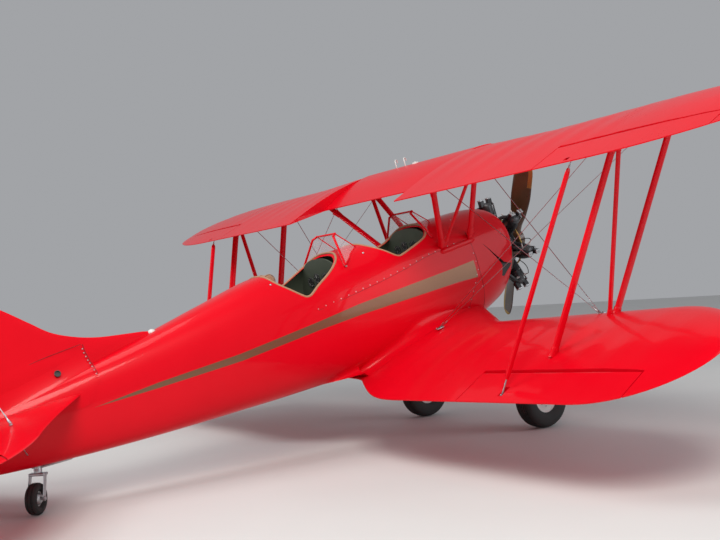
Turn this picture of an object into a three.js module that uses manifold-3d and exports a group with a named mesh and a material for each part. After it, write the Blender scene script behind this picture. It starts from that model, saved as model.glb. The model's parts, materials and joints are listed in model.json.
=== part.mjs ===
// A two-seat open-cockpit biplane with a radial engine, parked on its three wheels.
// Millimetres. The airframe is drawn level: x forward, y to the left, z up from a datum line a little
// below the engine's axis. s is the distance aft of the datum's front end, so x = -s. One group then
// pitches the airframe nose up.
import * as THREE from "three";
import { mergeVertices } from "three/addons/utils/BufferGeometryUtils.js";
import Module from "manifold-3d";

const wasm = await Module();
wasm.setup();
const { Manifold, Mesh: SolidMesh } = wasm;

// Parked attitude
const PITCH = THREE.MathUtils.degToRad(13.5);
const DATUM_HEIGHT = 1850; // of the datum line above the floor, at s = 0

// Clearances
const SEAT_GAP = 0.3;
const RUNNING_GAP = 8;

// Wings
const CHORD = 1450;
const FRONT_SPAR = 0.14; // of the chord
const REAR_SPAR = 0.66;
// Trailing edge's place on the centre line, dihedral and incidence as slopes, and the rounded tip
const UPPER = { te: 2407, z: 946, dihedral: 0.005, incidence: 0.055, tipStart: 2990, tip: 4417 };
const LOWER = { te: 3254, z: -582, dihedral: 0.033, incidence: 0.075, tipStart: 3110, tip: 3840 };
const THICKNESS = { root: 1.1, panel: 0.9, from: 1800 }; // of the upper wing, against the airfoil's own
const CENTRE_HALF = 900;
const CENTRE_CHORD = 985;
const AILERON_HINGE = 0.78; // of the chord
const UPPER_AILERON = { inner: 2550, outer: 3920 };
const LOWER_AILERON = { inner: 2040, outer: 3500 };

// Interplane struts
const STRUT_UPPER_Y = 2960;
const STRUT_LOWER_Y = 2570;
const AILERON_STRUT_UPPER_Y = 2860;
const AILERON_STRUT_LOWER_Y = 2450;
const TIE_DOWN = { half: 40, below: 14 }; // plate under the front strut's foot
const AILERON_ARM = { aft: 222, up: -41 }; // of the strut's pins from the aileron hinge
const SLOT = { near: 32, far: 72, inner: 15, outer: 27 }; // of the aileron's slot, from the pin

// Fuselage
const WALL = 24;
const FLOOR_Z = -330;
const SEAM = 1250;
const CAVITY = { from: 1320, to: 3420 };

// Engine and propeller
const CYLINDERS = 7;
const ENGINE_Z = 90; // of the crankshaft above the datum line
const ENGINE_RADIUS = 545;
const CYLINDER_S = 520;
const COWL_FRONT = 715;
const PROPELLER_S = 220;
const PROPELLER_RADIUS = 960;
const PROPELLER_TURN = THREE.MathUtils.degToRad(28); // as it stopped

// Tail
const ELEVATOR_HINGE = { s: 6205, z: 250 };
const RUDDER_HINGE = 6325;

// Wheels
const MAIN_WHEEL = { s: 1330, y: 900, radius: 285, halfWidth: 95 };
const TAIL_WHEEL = { s: 5823, radius: 120, halfWidth: 45 };
const TAIL_SWIVEL = THREE.MathUtils.degToRad(50); // as it was left

// Colours from the photograph
const paint = new THREE.MeshStandardMaterial({ color: 0xb3100c, roughness: 0.25, metalness: 0.1 });
const engineBlack = new THREE.MeshStandardMaterial({ color: 0x16171a, roughness: 0.5, metalness: 0.4 });
const steel = new THREE.MeshStandardMaterial({ color: 0x9a9da0, roughness: 0.35, metalness: 0.9 });
const rubber = new THREE.MeshStandardMaterial({ color: 0x141414, roughness: 0.8, metalness: 0 });
const leather = new THREE.MeshStandardMaterial({ color: 0x8a5a34, roughness: 0.6, metalness: 0 });
const interior = new THREE.MeshStandardMaterial({ color: 0x3d4438, roughness: 0.7, metalness: 0 });
const glass = { color: 0xcfdce4, roughness: 0.05, transparent: true, opacity: 0.4 };
const clear = new THREE.MeshStandardMaterial(glass);

// Solids

function solidOf(geometry) {
  const bare = geometry.clone();
  for (const name of ["normal", "uv"]) bare.deleteAttribute(name);
  const merged = mergeVertices(bare, 1e-3);
  const vertProperties = new Float32Array(merged.attributes.position.array);
  const build = (triVerts) => new Manifold(new SolidMesh({ numProp: 3, vertProperties, triVerts }));
  const faces = new Uint32Array(merged.index.array);
  const made = build(faces);
  if (made.volume() > 0) return made;
  for (let i = 0; i < faces.length; i += 3) [faces[i + 1], faces[i + 2]] = [faces[i + 2], faces[i + 1]];
  return build(faces);
}

function geometryOf(solid) {
  const mesh = solid.getMesh();
  const geometry = new THREE.BufferGeometry();
  geometry.setAttribute("position", new THREE.BufferAttribute(new Float32Array(mesh.vertProperties), 3));
  geometry.setIndex(new THREE.BufferAttribute(new Uint32Array(mesh.triVerts), 1));
  geometry.computeVertexNormals();
  return geometry;
}

// A closed skin through rings of the same number of points, with flat ends.
function loft(rings) {
  const count = rings[0].length;
  const positions = rings.flat(2);
  const index = [];
  for (let r = 0; r + 1 < rings.length; r++)
    for (let i = 0; i < count; i++) {
      const a = r * count + i;
      const b = r * count + ((i + 1) % count);
      index.push(a, b, a + count, b, b + count, a + count);
    }
  for (const [start, flip] of [[0, true], [(rings.length - 1) * count, false]]) {
    const centre = positions.length / 3;
    const ring = positions.slice(start * 3, (start + count) * 3);
    for (let axis = 0; axis < 3; axis++)
      positions.push(ring.filter((_, i) => i % 3 === axis).reduce((sum, v) => sum + v, 0) / count);
    for (let i = 0; i < count; i++) {
      const pair = [start + i, start + ((i + 1) % count)];
      if (flip) pair.reverse();
      index.push(centre, ...pair);
    }
  }
  const geometry = new THREE.BufferGeometry();
  geometry.setAttribute("position", new THREE.Float32BufferAttribute(positions, 3));
  geometry.setIndex(index);
  return solidOf(geometry);
}

const at = (s, y, z) => new THREE.Vector3(-s, y, z);
const boxSolid = (from, to) => {
  const size = new THREE.Vector3().subVectors(to, from);
  const box = new THREE.BoxGeometry(Math.abs(size.x), Math.abs(size.y), Math.abs(size.z));
  return solidOf(box.translate((from.x + to.x) / 2, (from.y + to.y) / 2, (from.z + to.z) / 2));
};
const join = (...solids) => Manifold.union(solids);
const largest = (solid) => solid.decompose().sort((a, b) => b.volume() - a.volume())[0];

// Cuts a piece back so that it rests on its carrier with the seat gap, along one direction.
function seat(piece, carrier, x, y, z) {
  const away = new THREE.Vector3(x, y, z).setLength(SEAT_GAP);
  return largest(piece.subtract(Manifold.union([carrier, carrier.translate(away.toArray())])));
}

// A bar from a to b, oval where across is less than along; along points roughly fore and aft.
function bar(a, b, along, across = along, sides = 10) {
  const axis = new THREE.Vector3().subVectors(b, a).normalize();
  const fore = Math.abs(axis.x) > 0.9 ? new THREE.Vector3(0, 0, 1) : new THREE.Vector3(1, 0, 0);
  const u = fore.addScaledVector(axis, -fore.dot(axis)).normalize();
  const v = new THREE.Vector3().crossVectors(axis, u);
  const ring = (p) =>
    Array.from({ length: sides }, (_, i) => {
      const angle = (i / sides) * 2 * Math.PI;
      return p
        .clone()
        .addScaledVector(u, (along / 2) * Math.cos(angle))
        .addScaledVector(v, (across / 2) * Math.sin(angle))
        .toArray();
    });
  return loft([ring(a), ring(b)]);
}

// A profile of [axial, radius] pairs turned about the y axis, then placed.
function turned(profile, sides, place) {
  const points = profile.map(([axial, radius]) => new THREE.Vector2(radius, axial));
  const geometry = new THREE.LatheGeometry(points, sides);
  place(geometry);
  return solidOf(geometry);
}

// A flat outline of [s, z] pairs, extruded across the aircraft from y0 to y1.
function sideSlab(outline, y0, y1) {
  const shape = new THREE.Shape(outline.map(([s, z]) => new THREE.Vector2(-s, z)));
  const geometry = new THREE.ExtrudeGeometry(shape, { depth: y1 - y0, bevelEnabled: false });
  return solidOf(geometry.rotateX(Math.PI / 2).translate(0, y1, 0));
}

// Airfoil rows: fraction of the chord, upper surface, lower surface
const AIRFOIL = [
  [0, 0.035, 0.035],
  [0.02, 0.062, 0.016],
  [0.07, 0.087, 0.006],
  [0.17, 0.11, 0.001],
  [0.32, 0.117, 0],
  [0.5, 0.105, 0],
  [0.7, 0.073, 0],
  [0.86, 0.038, 0],
  [1, 0.006, 0],
];

function airfoilRing(wing, le, te, y, z, thickness = THICKNESS.panel) {
  const chord = te - le;
  const rise = (f) => (1 - f) * chord * wing.incidence;
  const point = ([f, t]) => [-(le + f * chord), y, z + rise(f) + t * chord * thickness];
  const upper = AIRFOIL.map(([f, t]) => point([f, t]));
  const lower = AIRFOIL.slice(1).map(([f, , t]) => point([f, t]));
  return [...upper, ...lower.reverse()];
}

// The place on a wing's flat lower face at a fraction of its chord.
function wingPoint(wing, fraction, y) {
  const z = wing.z + wing.dihedral * Math.abs(y) + (1 - fraction) * CHORD * wing.incidence;
  return at(wing.te - CHORD * (1 - fraction), y, z);
}

// Tip rows: fraction of the tip's length, share of the chord that is left
const TIP = [0, 0.3, 0.55, 0.76, 0.9, 0.97, 0.997].map((u) => [u, (1 - u ** 2.1) ** 0.53]);
const TIP_REAR = 0.46; // the trailing edge's share of the taper
const TIP_RISE = 0.06;

// Root rows of the lower wing: y, leading edge s, trailing edge s. The root is cut away behind, its
// leading edge sweeps forward into the fuselage, and it closes under the belly.
const LOWER_ROOT = [
  [0.5, 1017, 2820],
  [300, 1216, 2872],
  [440, 1309, 2950],
  [590, 1409, 3036],
  [780, 1535, 3138],
  [960, 1655, 3210],
  [1120, 1761, 3245],
];

function lowerRoot(wing, side) {
  return LOWER_ROOT.map(([y, le, te]) => {
    const z = wing.z + wing.dihedral * y + (wing.te - te) * wing.incidence;
    return airfoilRing(wing, le, te, side * y, z, (THICKNESS.panel * CHORD) / (te - le));
  });
}

function upperRoot(wing, side) {
  const rows = [[CENTRE_HALF + SEAT_GAP, THICKNESS.root], [THICKNESS.from, THICKNESS.panel]];
  return rows.map(([y, thickness]) => {
    const place = wingPoint(wing, 1, side * y);
    return airfoilRing(wing, wing.te - CHORD, wing.te, side * y, place.z, thickness);
  });
}

function wingSkin(wing, side) {
  const root = wing === LOWER ? lowerRoot(wing, side) : upperRoot(wing, side);
  const start = wing === LOWER ? [[1260, 1]] : [];
  const rows = [...start, ...TIP.map(([u, k]) => [wing.tipStart + u * (wing.tip - wing.tipStart), k])];
  const rings = rows.map(([y, k]) => {
    const le = wing.te - CHORD + (1 - k) * (1 - TIP_REAR) * CHORD;
    const te = wing.te - (1 - k) * TIP_REAR * CHORD;
    const z = wing.z + wing.dihedral * y + (1 - k) * TIP_RISE * CHORD;
    return airfoilRing(wing, le, te, side * y, z);
  });
  return loft([...root, ...rings]);
}

// A flat plate under the front strut's foot, for tying the parked aircraft down.
function tieDownPlate(side) {
  const place = wingPoint(LOWER, FRONT_SPAR, side * STRUT_LOWER_Y);
  const low = new THREE.Vector3(-TIE_DOWN.half, -TIE_DOWN.half, -TIE_DOWN.below);
  const high = new THREE.Vector3(TIE_DOWN.half, TIE_DOWN.half, 25);
  return boxSolid(place.clone().add(low), place.clone().add(high));
}

// Hinges

// Cuts a moving surface back round a lug of its carrier, and gives the lug a pin that it turns on.
function addHinge(fixed, moving, centre, axis, forward, reach) {
  const side = new THREE.Vector3().crossVectors(axis, forward);
  const place = (a, f, u) =>
    centre.clone().addScaledVector(axis, a).addScaledVector(forward, f).addScaledVector(side, u);
  const block = (a, f0, f1, u) =>
    loft([f0, f1].map((f) => [[-a, -u], [a, -u], [a, u], [-a, u]].map(([p, q]) => place(p, f, q).toArray())));
  const pin = (radius, half) => bar(place(-half, 0, 0), place(half, 0, 0), radius * 2, radius * 2, 12);
  const lug = join(block(6, -5, reach, 7), pin(5, 26));
  const freed = moving.subtract(block(14, -16, 60, 80)).subtract(pin(5.8, 27));
  return [fixed.add(lug), freed];
}

// Wings and ailerons

function aileronAxis(wing, side) {
  return new THREE.Vector3(0, 1, side * wing.dihedral).normalize();
}

function aileronHinge(wing, y) {
  return wingPoint(wing, AILERON_HINGE, y).add(new THREE.Vector3(0, 0, 36));
}

function wingAndAileron(wing, bay, strutY, side) {
  const skin = wingSkin(wing, side);
  const noseRadius = 40;
  const inner = aileronHinge(wing, side * bay.inner);
  const outer = aileronHinge(wing, side * bay.outer);
  const axis = outer.clone().sub(inner).normalize();
  const far = 400;
  const slab = (fromY, toY, foreGap) =>
    loft(
      [fromY, toY].map((y) => {
        const hinge = aileronHinge(wing, side * y);
        return [[foreGap, -200], [foreGap, 200], [-far, 200], [-far, -200]].map(([f, up]) => [
          hinge.x + f,
          side * y,
          hinge.z + up,
        ]);
      }),
    );
  let panel = skin.subtract(slab(bay.inner, bay.outer, noseRadius + RUNNING_GAP));
  const nose = bar(
    aileronHinge(wing, side * (bay.inner + RUNNING_GAP)),
    aileronHinge(wing, side * (bay.outer - RUNNING_GAP)),
    noseRadius * 2,
    noseRadius * 2,
    16,
  ).intersect(skin);
  let aileron = skin.intersect(slab(bay.inner + RUNNING_GAP, bay.outer - RUNNING_GAP, 0)).add(nose);
  const forward = new THREE.Vector3(1, 0, 0);
  for (const share of [0.15, 0.85]) {
    const centre = inner.clone().lerp(outer, share);
    [panel, aileron] = addHinge(panel, aileron, centre, axis, forward, noseRadius + RUNNING_GAP + 12);
  }
  return [panel, slotForStrut(aileron, wing, strutY, side)];
}

function aileronPin(wing, y) {
  return aileronHinge(wing, y).add(new THREE.Vector3(-AILERON_ARM.aft, 0, AILERON_ARM.up));
}

// A slot right through the aileron, crossed by the pin that the connecting strut turns on. It is longer
// and wider on the sides that the strut leans to.
function slotForStrut(aileron, wing, strutY, side) {
  const pin = aileronPin(wing, side * strutY);
  const lean = wing === LOWER ? 1 : -1;
  const axis = aileronAxis(wing, side).multiplyScalar(lean * side);
  const corner = (along, across, up) =>
    pin.clone().addScaledVector(axis, across).add(new THREE.Vector3(lean * along, 0, up));
  const slot = boxSolid(corner(-SLOT.near, -SLOT.inner, -90), corner(SLOT.far, SLOT.outer, 90));
  const rod = bar(corner(0, -SLOT.inner - 8, 0), corner(0, SLOT.outer + 8, 0), 10, 10, 12);
  return aileron.subtract(slot).add(rod);
}

function aileronStrut(side) {
  const places = [[LOWER, AILERON_STRUT_LOWER_Y], [UPPER, AILERON_STRUT_UPPER_Y]];
  const ends = places.map(([wing, y]) => aileronPin(wing, side * y));
  const axis = new THREE.Vector3(0, 1, 0);
  const along = ends[1].clone().sub(ends[0]).normalize();
  const near = ends.map((p, i) => p.clone().addScaledVector(along, i ? -9 : 9));
  const middle = ends.map((p, i) => p.clone().addScaledVector(along, i ? -150 : 150));
  const eye = (p, r, half) =>
    bar(p.clone().addScaledVector(axis, -half), p.clone().addScaledVector(axis, half), r * 2, r * 2, 12);
  return join(
    bar(near[0], middle[0], 16, 12, 8),
    bar(middle[0], middle[1], 44, 20, 10),
    bar(near[1], middle[1], 16, 12, 8),
    ...ends.map((p) => eye(p, 11, 7)),
  ).subtract(join(...ends.map((p) => eye(p, 5.9, 9))));
}

function centreSection() {
  const le = UPPER.te - CHORD;
  const z = UPPER.z + (CHORD - CENTRE_CHORD) * UPPER.incidence;
  const thickness = (THICKNESS.root * CHORD) / CENTRE_CHORD;
  const rise = z + UPPER.dihedral * CENTRE_HALF;
  const ring = (y) => airfoilRing(UPPER, le, le + CENTRE_CHORD, y, rise, thickness);
  return loft([ring(-CENTRE_HALF), ring(CENTRE_HALF)]);
}

// Fuselage rows: s, half width, top, bottom, height of the widest place
const FUSELAGE = [
  [1250, 455, 610, -505, 20],
  [1700, 450, 628, -525, 20],
  [2300, 440, 632, -525, 20],
  [2900, 425, 640, -505, 20],
  [3420, 390, 640, -462, 30],
  [4000, 335, 574, -402, 40],
  [4500, 275, 503, -346, 50],
  [5100, 200, 430, -268, 70],
  [5700, 125, 370, -172, 90],
  [6150, 62, 325, -85, 110],
];
const RING_POINTS = 28;

function fuselageAt(s) {
  const row = Math.max(1, FUSELAGE.findIndex((r) => r[0] >= s));
  const [a, b] = [FUSELAGE[row - 1], FUSELAGE[row]];
  const t = (s - a[0]) / (b[0] - a[0]);
  const [, half, top, bottom, mid] = a.map((v, i) => v + (b[i] - v) * t);
  return { half, top, bottom, mid };
}

function fuselageRing(s, inset) {
  const { half, top, bottom, mid } = fuselageAt(s);
  const squareness = 2 / 2.7;
  return Array.from({ length: RING_POINTS }, (_, i) => {
    const angle = ((i + 0.5) / RING_POINTS) * 2 * Math.PI;
    const [c, n] = [Math.cos(angle), Math.sin(angle)];
    const height = (n > 0 ? top - mid : mid - bottom) - inset;
    return [
      -s,
      (half - inset) * Math.sign(c) * Math.abs(c) ** squareness,
      mid + height * Math.sign(n) * Math.abs(n) ** squareness,
    ];
  });
}

// The hollow of the two cockpits, or a solid that fits it with a gap.
function hollow(gap) {
  const between = FUSELAGE.map((r) => r[0]).filter((s) => s > CAVITY.from && s < CAVITY.to);
  const stations = [CAVITY.from + gap, ...between, CAVITY.to - gap];
  const skin = loft(stations.map((s) => fuselageRing(s, WALL + gap)));
  return skin.intersect(boxSolid(at(1000, -600, FLOOR_Z + gap), at(4000, 600, 900)));
}

// Cockpit sills in side view, as [s, z]
const FRONT_SILL = [
  [1735, 900], [1735, 612], [1800, 508], [1950, 452], [2130, 418], [2230, 505], [2330, 596], [2350, 900],
];
const REAR_SILL = [
  [2690, 900], [2690, 618], [2790, 540], [3000, 438], [3205, 352], [3320, 455], [3420, 520], [3420, 900],
];

function fuselage() {
  const skin = loft(FUSELAGE.map((r) => fuselageRing(r[0], 0)));
  const openings = [FRONT_SILL, REAR_SILL].map((sill) => sideSlab(sill, -600, 600));
  return skin.subtract(join(hollow(0), ...openings));
}

function instrumentPanel(s) {
  return hollow(SEAT_GAP).intersect(boxSolid(at(s, -500, 150), at(s + 14, 500, 700)));
}

function seatPiece(s) {
  const parts = [
    boxSolid(at(s, -200, -400), at(s + 380, 200, -120)),
    boxSolid(at(s + 330, -200, -400), at(s + 380, 200, 330)),
    boxSolid(at(s + 60, -215, -140), at(s + 380, -185, 60)),
    boxSolid(at(s + 60, 185, -140), at(s + 380, 215, 60)),
  ];
  return join(...parts).intersect(hollow(SEAT_GAP));
}

function headrest(body) {
  const pad = turned([[-85, 0], [-85, 40], [-70, 58], [70, 58], [85, 40], [85, 0]], 14, (g) =>
    g.scale(1.1, 1, 1.1).translate(-3360, 0, 575),
  );
  return seat(pad, body, 1, 0, 0);
}

// Struts

// Front, rear and diagonal struts of one bay, joined into one N.
function interplaneStrut(lowerWing, upperWing, side) {
  const foot = (share) => wingPoint(LOWER, share, side * STRUT_LOWER_Y).add(new THREE.Vector3(0, 0, 30));
  const head = (share) => wingPoint(UPPER, share, side * STRUT_UPPER_Y).add(new THREE.Vector3(0, 0, 40));
  const whole = join(
    bar(foot(FRONT_SPAR), head(FRONT_SPAR), 78, 30, 12),
    bar(foot(REAR_SPAR), head(REAR_SPAR), 74, 28, 12),
    bar(foot(FRONT_SPAR + 0.03), head(REAR_SPAR - 0.03), 50, 22, 12),
  );
  return seat(seat(whole, lowerWing, 0, 0, 1), upperWing, 0, 0, -1);
}

// Front, rear and diagonal struts between the fuselage's shoulder and the centre section.
function cabane(carrier, centre, side) {
  const front = [at(1236, side * 418, 345), at(1309, side * 850, 1045)];
  const rear = [at(1606, side * 412, 345), at(1896, side * 856, 1000)];
  const diagonal = [at(1590, side * 424, 360), at(1330, side * 846, 1045)];
  const base = bar(at(1180, side * 420, 318), at(1665, side * 420, 314), 80, 66, 12);
  const whole = join(bar(...front, 70, 28, 12), bar(...rear, 66, 28, 12), bar(...diagonal, 46, 22, 12), base);
  return seat(seat(whole, carrier, 0, side, 1), centre, 0, 0, -1);
}

// Windscreens: a flat front pane, a narrow pane each side, and a hoop that holds their rear edges

function windscreenCorners({ base, foot, top }) {
  const row = (inner, outer) => [
    at(outer[0], -outer[1], outer[2]),
    at(inner[0], -inner[1], inner[2]),
    at(inner[0], inner[1], inner[2]),
    at(outer[0], outer[1], outer[2]),
  ];
  return [row(base, foot), row(top, [top[0] + 42, top[1] + 26, top[2] - 18])];
}

function windscreenPanes(spec, thickness) {
  const [low, high] = windscreenCorners(spec);
  const deep = new THREE.Vector3(-thickness, 0, 0);
  const panes = [0, 1, 2].map((i) => {
    const quad = [low[i], low[i + 1], high[i + 1], high[i]];
    return loft([quad.map((p) => p.toArray()), quad.map((p) => p.clone().add(deep).toArray())]);
  });
  return join(...panes);
}

function windscreenGlass(spec, body) {
  return seat(windscreenPanes(spec, 4), body, 0, 0, 1);
}

function windscreenFrame(spec, body) {
  const ahead = new THREE.Vector3(9, 0, 0);
  const [low, high] = windscreenCorners(spec).map((row) => row.map((p) => p.clone().add(ahead)));
  const path = [low[0], ...high, low[3]];
  const bars = path.slice(1).map((p, i) => bar(path[i], p, 22, 22, 6));
  const panes = windscreenPanes(spec, 6);
  const moves = [[1, 0, 0], [0, 0.5, 0], [0, -0.5, 0], [0, 0, 0.5]];
  const clearance = join(...moves.map((move) => panes.translate(move)));
  return largest(seat(join(...bars), body, 0, 0, 1).subtract(clearance));
}

// s, y, z of the front pane's foot, the side panes' aft feet and the front pane's top
const FRONT_SCREEN = { base: [1490, 170, 612], foot: [1672, 372, 478], top: [1655, 150, 762] };
const REAR_SCREEN = { base: [2440, 168, 622], foot: [2742, 372, 510], top: [2612, 155, 796] };

// Nose

// Rows: s, half width, top, bottom, height of the widest place, fullness above and below it
const COWL = [
  [COWL_FRONT, 408, 500, -345, 200, 2.1, 1.75],
  [COWL_FRONT + 22, 446, 548, -392, 198, 2.2, 1.75],
  [COWL_FRONT + 80, 460, 575, -430, 190, 2.3, 1.8],
  [960, 460, 597, -462, 120, 2.5, 2.1],
  [SEAM - SEAT_GAP, 455, 610, -505, 20, 2.7, 2.7],
];

function cowl() {
  const rings = COWL.map(([s, half, top, bottom, mid, above, below]) =>
    Array.from({ length: RING_POINTS }, (_, i) => {
      const angle = ((i + 0.5) / RING_POINTS) * 2 * Math.PI;
      const [c, n] = [Math.cos(angle), Math.sin(angle)];
      const power = 2 / (n > 0 ? above : below);
      const height = n > 0 ? top - mid : mid - bottom;
      const y = half * Math.sign(c) * Math.abs(c) ** power;
      return [-s, y, mid + height * Math.sign(n) * Math.abs(n) ** power];
    }),
  );
  const recess = turned([[-20, 0], [-20, 290], [70, 290], [70, 0]], 28, (g) =>
    g.rotateZ(Math.PI / 2).translate(-COWL_FRONT, 0, ENGINE_Z),
  );
  return loft(rings).subtract(recess).subtract(join(...[1, -1].map(cowlVent)));
}

// The slanted air outlet behind the cylinders, wide in front and closing to a point behind.
function cowlVent(side) {
  const outline = [[1130, 262], [900, -5], [700, -60], [700, -205], [945, -138]];
  const [near, far] = side > 0 ? [395, 700] : [-700, -395];
  return sideSlab(outline, near, far);
}

function engine() {
  const alongX = (g) => g.rotateZ(Math.PI / 2);
  const faceS = PROPELLER_S + 66.3;
  // Crankcase profile: s, radius
  const crankcase = turned(
    [
      [faceS, 0], [faceS, 50], [faceS + 60, 95], [CYLINDER_S - 165, 160], [CYLINDER_S - 90, 210],
      [CYLINDER_S + 90, 222], [CYLINDER_S + 150, 200], [COWL_FRONT + 69.7, 200], [COWL_FRONT + 69.7, 0],
    ],
    24,
    alongX,
  );
  const barrels = Array.from({ length: CYLINDERS }, (_, i) => {
    const angle = (i / CYLINDERS) * 2 * Math.PI;
    // Cylinder profile: distance from the crankshaft, radius
    const barrel = turned(
      [[190, 0], [190, 62], [235, 62], [235, 78], [462, 84], [488, 70], [488, 0]],
      12,
      (g) => g.rotateX(Math.PI / 2).translate(-CYLINDER_S, 0, 0).rotateX(angle),
    );
    const rockers = [-1, 1].map((n) => {
      const box = new THREE.BoxGeometry(62, 46, 88);
      return solidOf(box.translate(-CYLINDER_S - n * 58, 0, ENGINE_RADIUS - 54).rotateX(angle));
    });
    const rods = [-1, 1].map((n) => {
      const rod = new THREE.CylinderGeometry(9, 9, 300, 6).rotateX(Math.PI / 2);
      return solidOf(rod.translate(-(CYLINDER_S - 92), n * 38, 335).rotateX(angle));
    });
    return join(barrel, ...rockers, ...rods);
  });
  return join(crankcase, ...barrels).translate([0, 0, ENGINE_Z]);
}

function exhaust(motor, nose) {
  const ringS = CYLINDER_S + 138;
  const ring = new THREE.TorusGeometry(330, 27, 8, 28).rotateY(Math.PI / 2).translate(-ringS, 0, ENGINE_Z);
  const pipe = join(
    bar(at(ringS, 225, -150), at(ringS + 50, 300, -470), 72, 72, 10),
    bar(at(ringS + 50, 300, -470), at(1130, 305, -612), 72, 72, 10),
  );
  const stubs = Array.from({ length: CYLINDERS }, (_, i) => {
    const angle = (i / CYLINDERS) * 2 * Math.PI;
    const [y, z] = [-330 * Math.sin(angle), ENGINE_Z + 330 * Math.cos(angle)];
    return bar(at(ringS, y, z), at(ringS - 110, y, z), 42, 42, 8);
  });
  const whole = join(solidOf(ring), pipe, ...stubs).subtract(nose.translate([0, 0, -8]));
  return seat(largest(whole), motor, -1, 0, 0);
}

function propeller() {
  const hub = turned([[-105, 0], [-105, 38], [-60, 60], [-40, 105], [55, 105], [66, 60], [66, 0]], 24, (g) =>
    g.rotateZ(Math.PI / 2),
  );
  // Blade rows: radius, chord, thickness, pitch in degrees
  const rows = [
    [20, 90, 80, 55],
    [150, 100, 68, 50],
    [300, 165, 38, 36],
    [540, 215, 26, 26],
    [760, 210, 19, 21],
    [890, 165, 12, 18],
    [PROPELLER_RADIUS, 60, 6, 17],
  ];
  const blades = [1, -1].map((way) => {
    const rings = rows.map(([radius, chord, thickness, pitch]) => {
      const turn = THREE.MathUtils.degToRad(pitch);
      return Array.from({ length: 10 }, (_, i) => {
        const angle = (i / 10) * 2 * Math.PI;
        const [p, q] = [(chord / 2) * Math.cos(angle), (thickness / 2) * Math.sin(angle)];
        const x = p * Math.sin(turn) + q * Math.cos(turn);
        const y = p * Math.cos(turn) - q * Math.sin(turn);
        return [x, -way * y, way * radius];
      });
    });
    return loft(rings);
  });
  const turn = THREE.MathUtils.radToDeg(PROPELLER_TURN);
  return join(hub, ...blades).rotate([turn, 0, 0]).translate([-PROPELLER_S, 0, ENGINE_Z]);
}

// Tail

// Rows: position along the surface, front s, rear s, half thickness
function lensLoft(rows, place, points = 12) {
  return loft(
    rows.map(([u, front, rear, half]) =>
      Array.from({ length: points }, (_, i) => {
        const angle = (i / points) * 2 * Math.PI;
        const s = (front + rear) / 2 - ((rear - front) / 2) * Math.cos(angle);
        return place(u, s, half * Math.sin(angle));
      }),
    ),
  );
}

const NOSE = 24; // radius of a tail surface's rounded nose at its hinge

function finAndRudder(body) {
  const upright = (u, s, t) => [-s, t, u];
  const edge = RUDDER_HINGE - NOSE - RUNNING_GAP;
  const finRows = [
    [255, 4420, 6600, 52],
    [470, 4460, 6600, 50],
    [520, 4560, 6590, 48],
    [560, 4745, 6585, 44],
    [605, 4950, 6580, 38],
    [665, 5120, 6575, 34],
    [763, 5298, 6560, 30],
    [880, 5423, 6550, 28],
    [1048, 5600, 6530, 25],
    [1200, 5790, 6500, 22],
    [1315, 6020, 6460, 16],
    [1352, 6180, 6420, 8],
  ];
  let fin = lensLoft(finRows, upright).intersect(boxSolid(at(4300, -200, 100), at(edge, 200, 1500)));
  fin = seat(fin.subtract(boxSolid(at(6100, -200, 0), at(6400, 200, 317))), body, -0.5, 0, 1);
  const rudderRows = [
    [-95, 6090, 6560, 12],
    [-40, 6000, 6760, 20],
    [120, 5900, 6930, 26],
    [380, 5850, 7025, 28],
    [640, 5850, 7045, 28],
    [860, 5860, 6990, 27],
    [1050, 5900, 6890, 24],
    [1220, 5980, 6730, 20],
    [1330, 6090, 6560, 14],
    [1368, 6200, 6450, 8],
  ];
  const slab = lensLoft(rudderRows, upright);
  const ends = [-95, 1368].map((z) => at(RUDDER_HINGE, 0, z));
  const nose = bar(...ends, NOSE * 2, NOSE * 2, 12).intersect(slab);
  let rudder = slab.intersect(boxSolid(at(RUDDER_HINGE, -200, -200), at(7200, 200, 1500))).add(nose);
  for (const z of [520, 1080])
    [fin, rudder] = addHinge(
      fin,
      rudder,
      at(RUDDER_HINGE, 0, z),
      new THREE.Vector3(0, 0, 1),
      new THREE.Vector3(1, 0, 0),
      NOSE + RUNNING_GAP + 14,
    );
  return [fin, rudder];
}

// Tailplane rows: y, leading edge s, trailing edge s, half thickness
const TAILPLANE = [
  [60, 5200, 6760, 38],
  [250, 5333, 6850, 36],
  [570, 5556, 6880, 33],
  [950, 5785, 6860, 28],
  [1250, 5945, 6800, 22],
  [1450, 6115, 6690, 15],
  [1540, 6250, 6560, 7],
];

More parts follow.
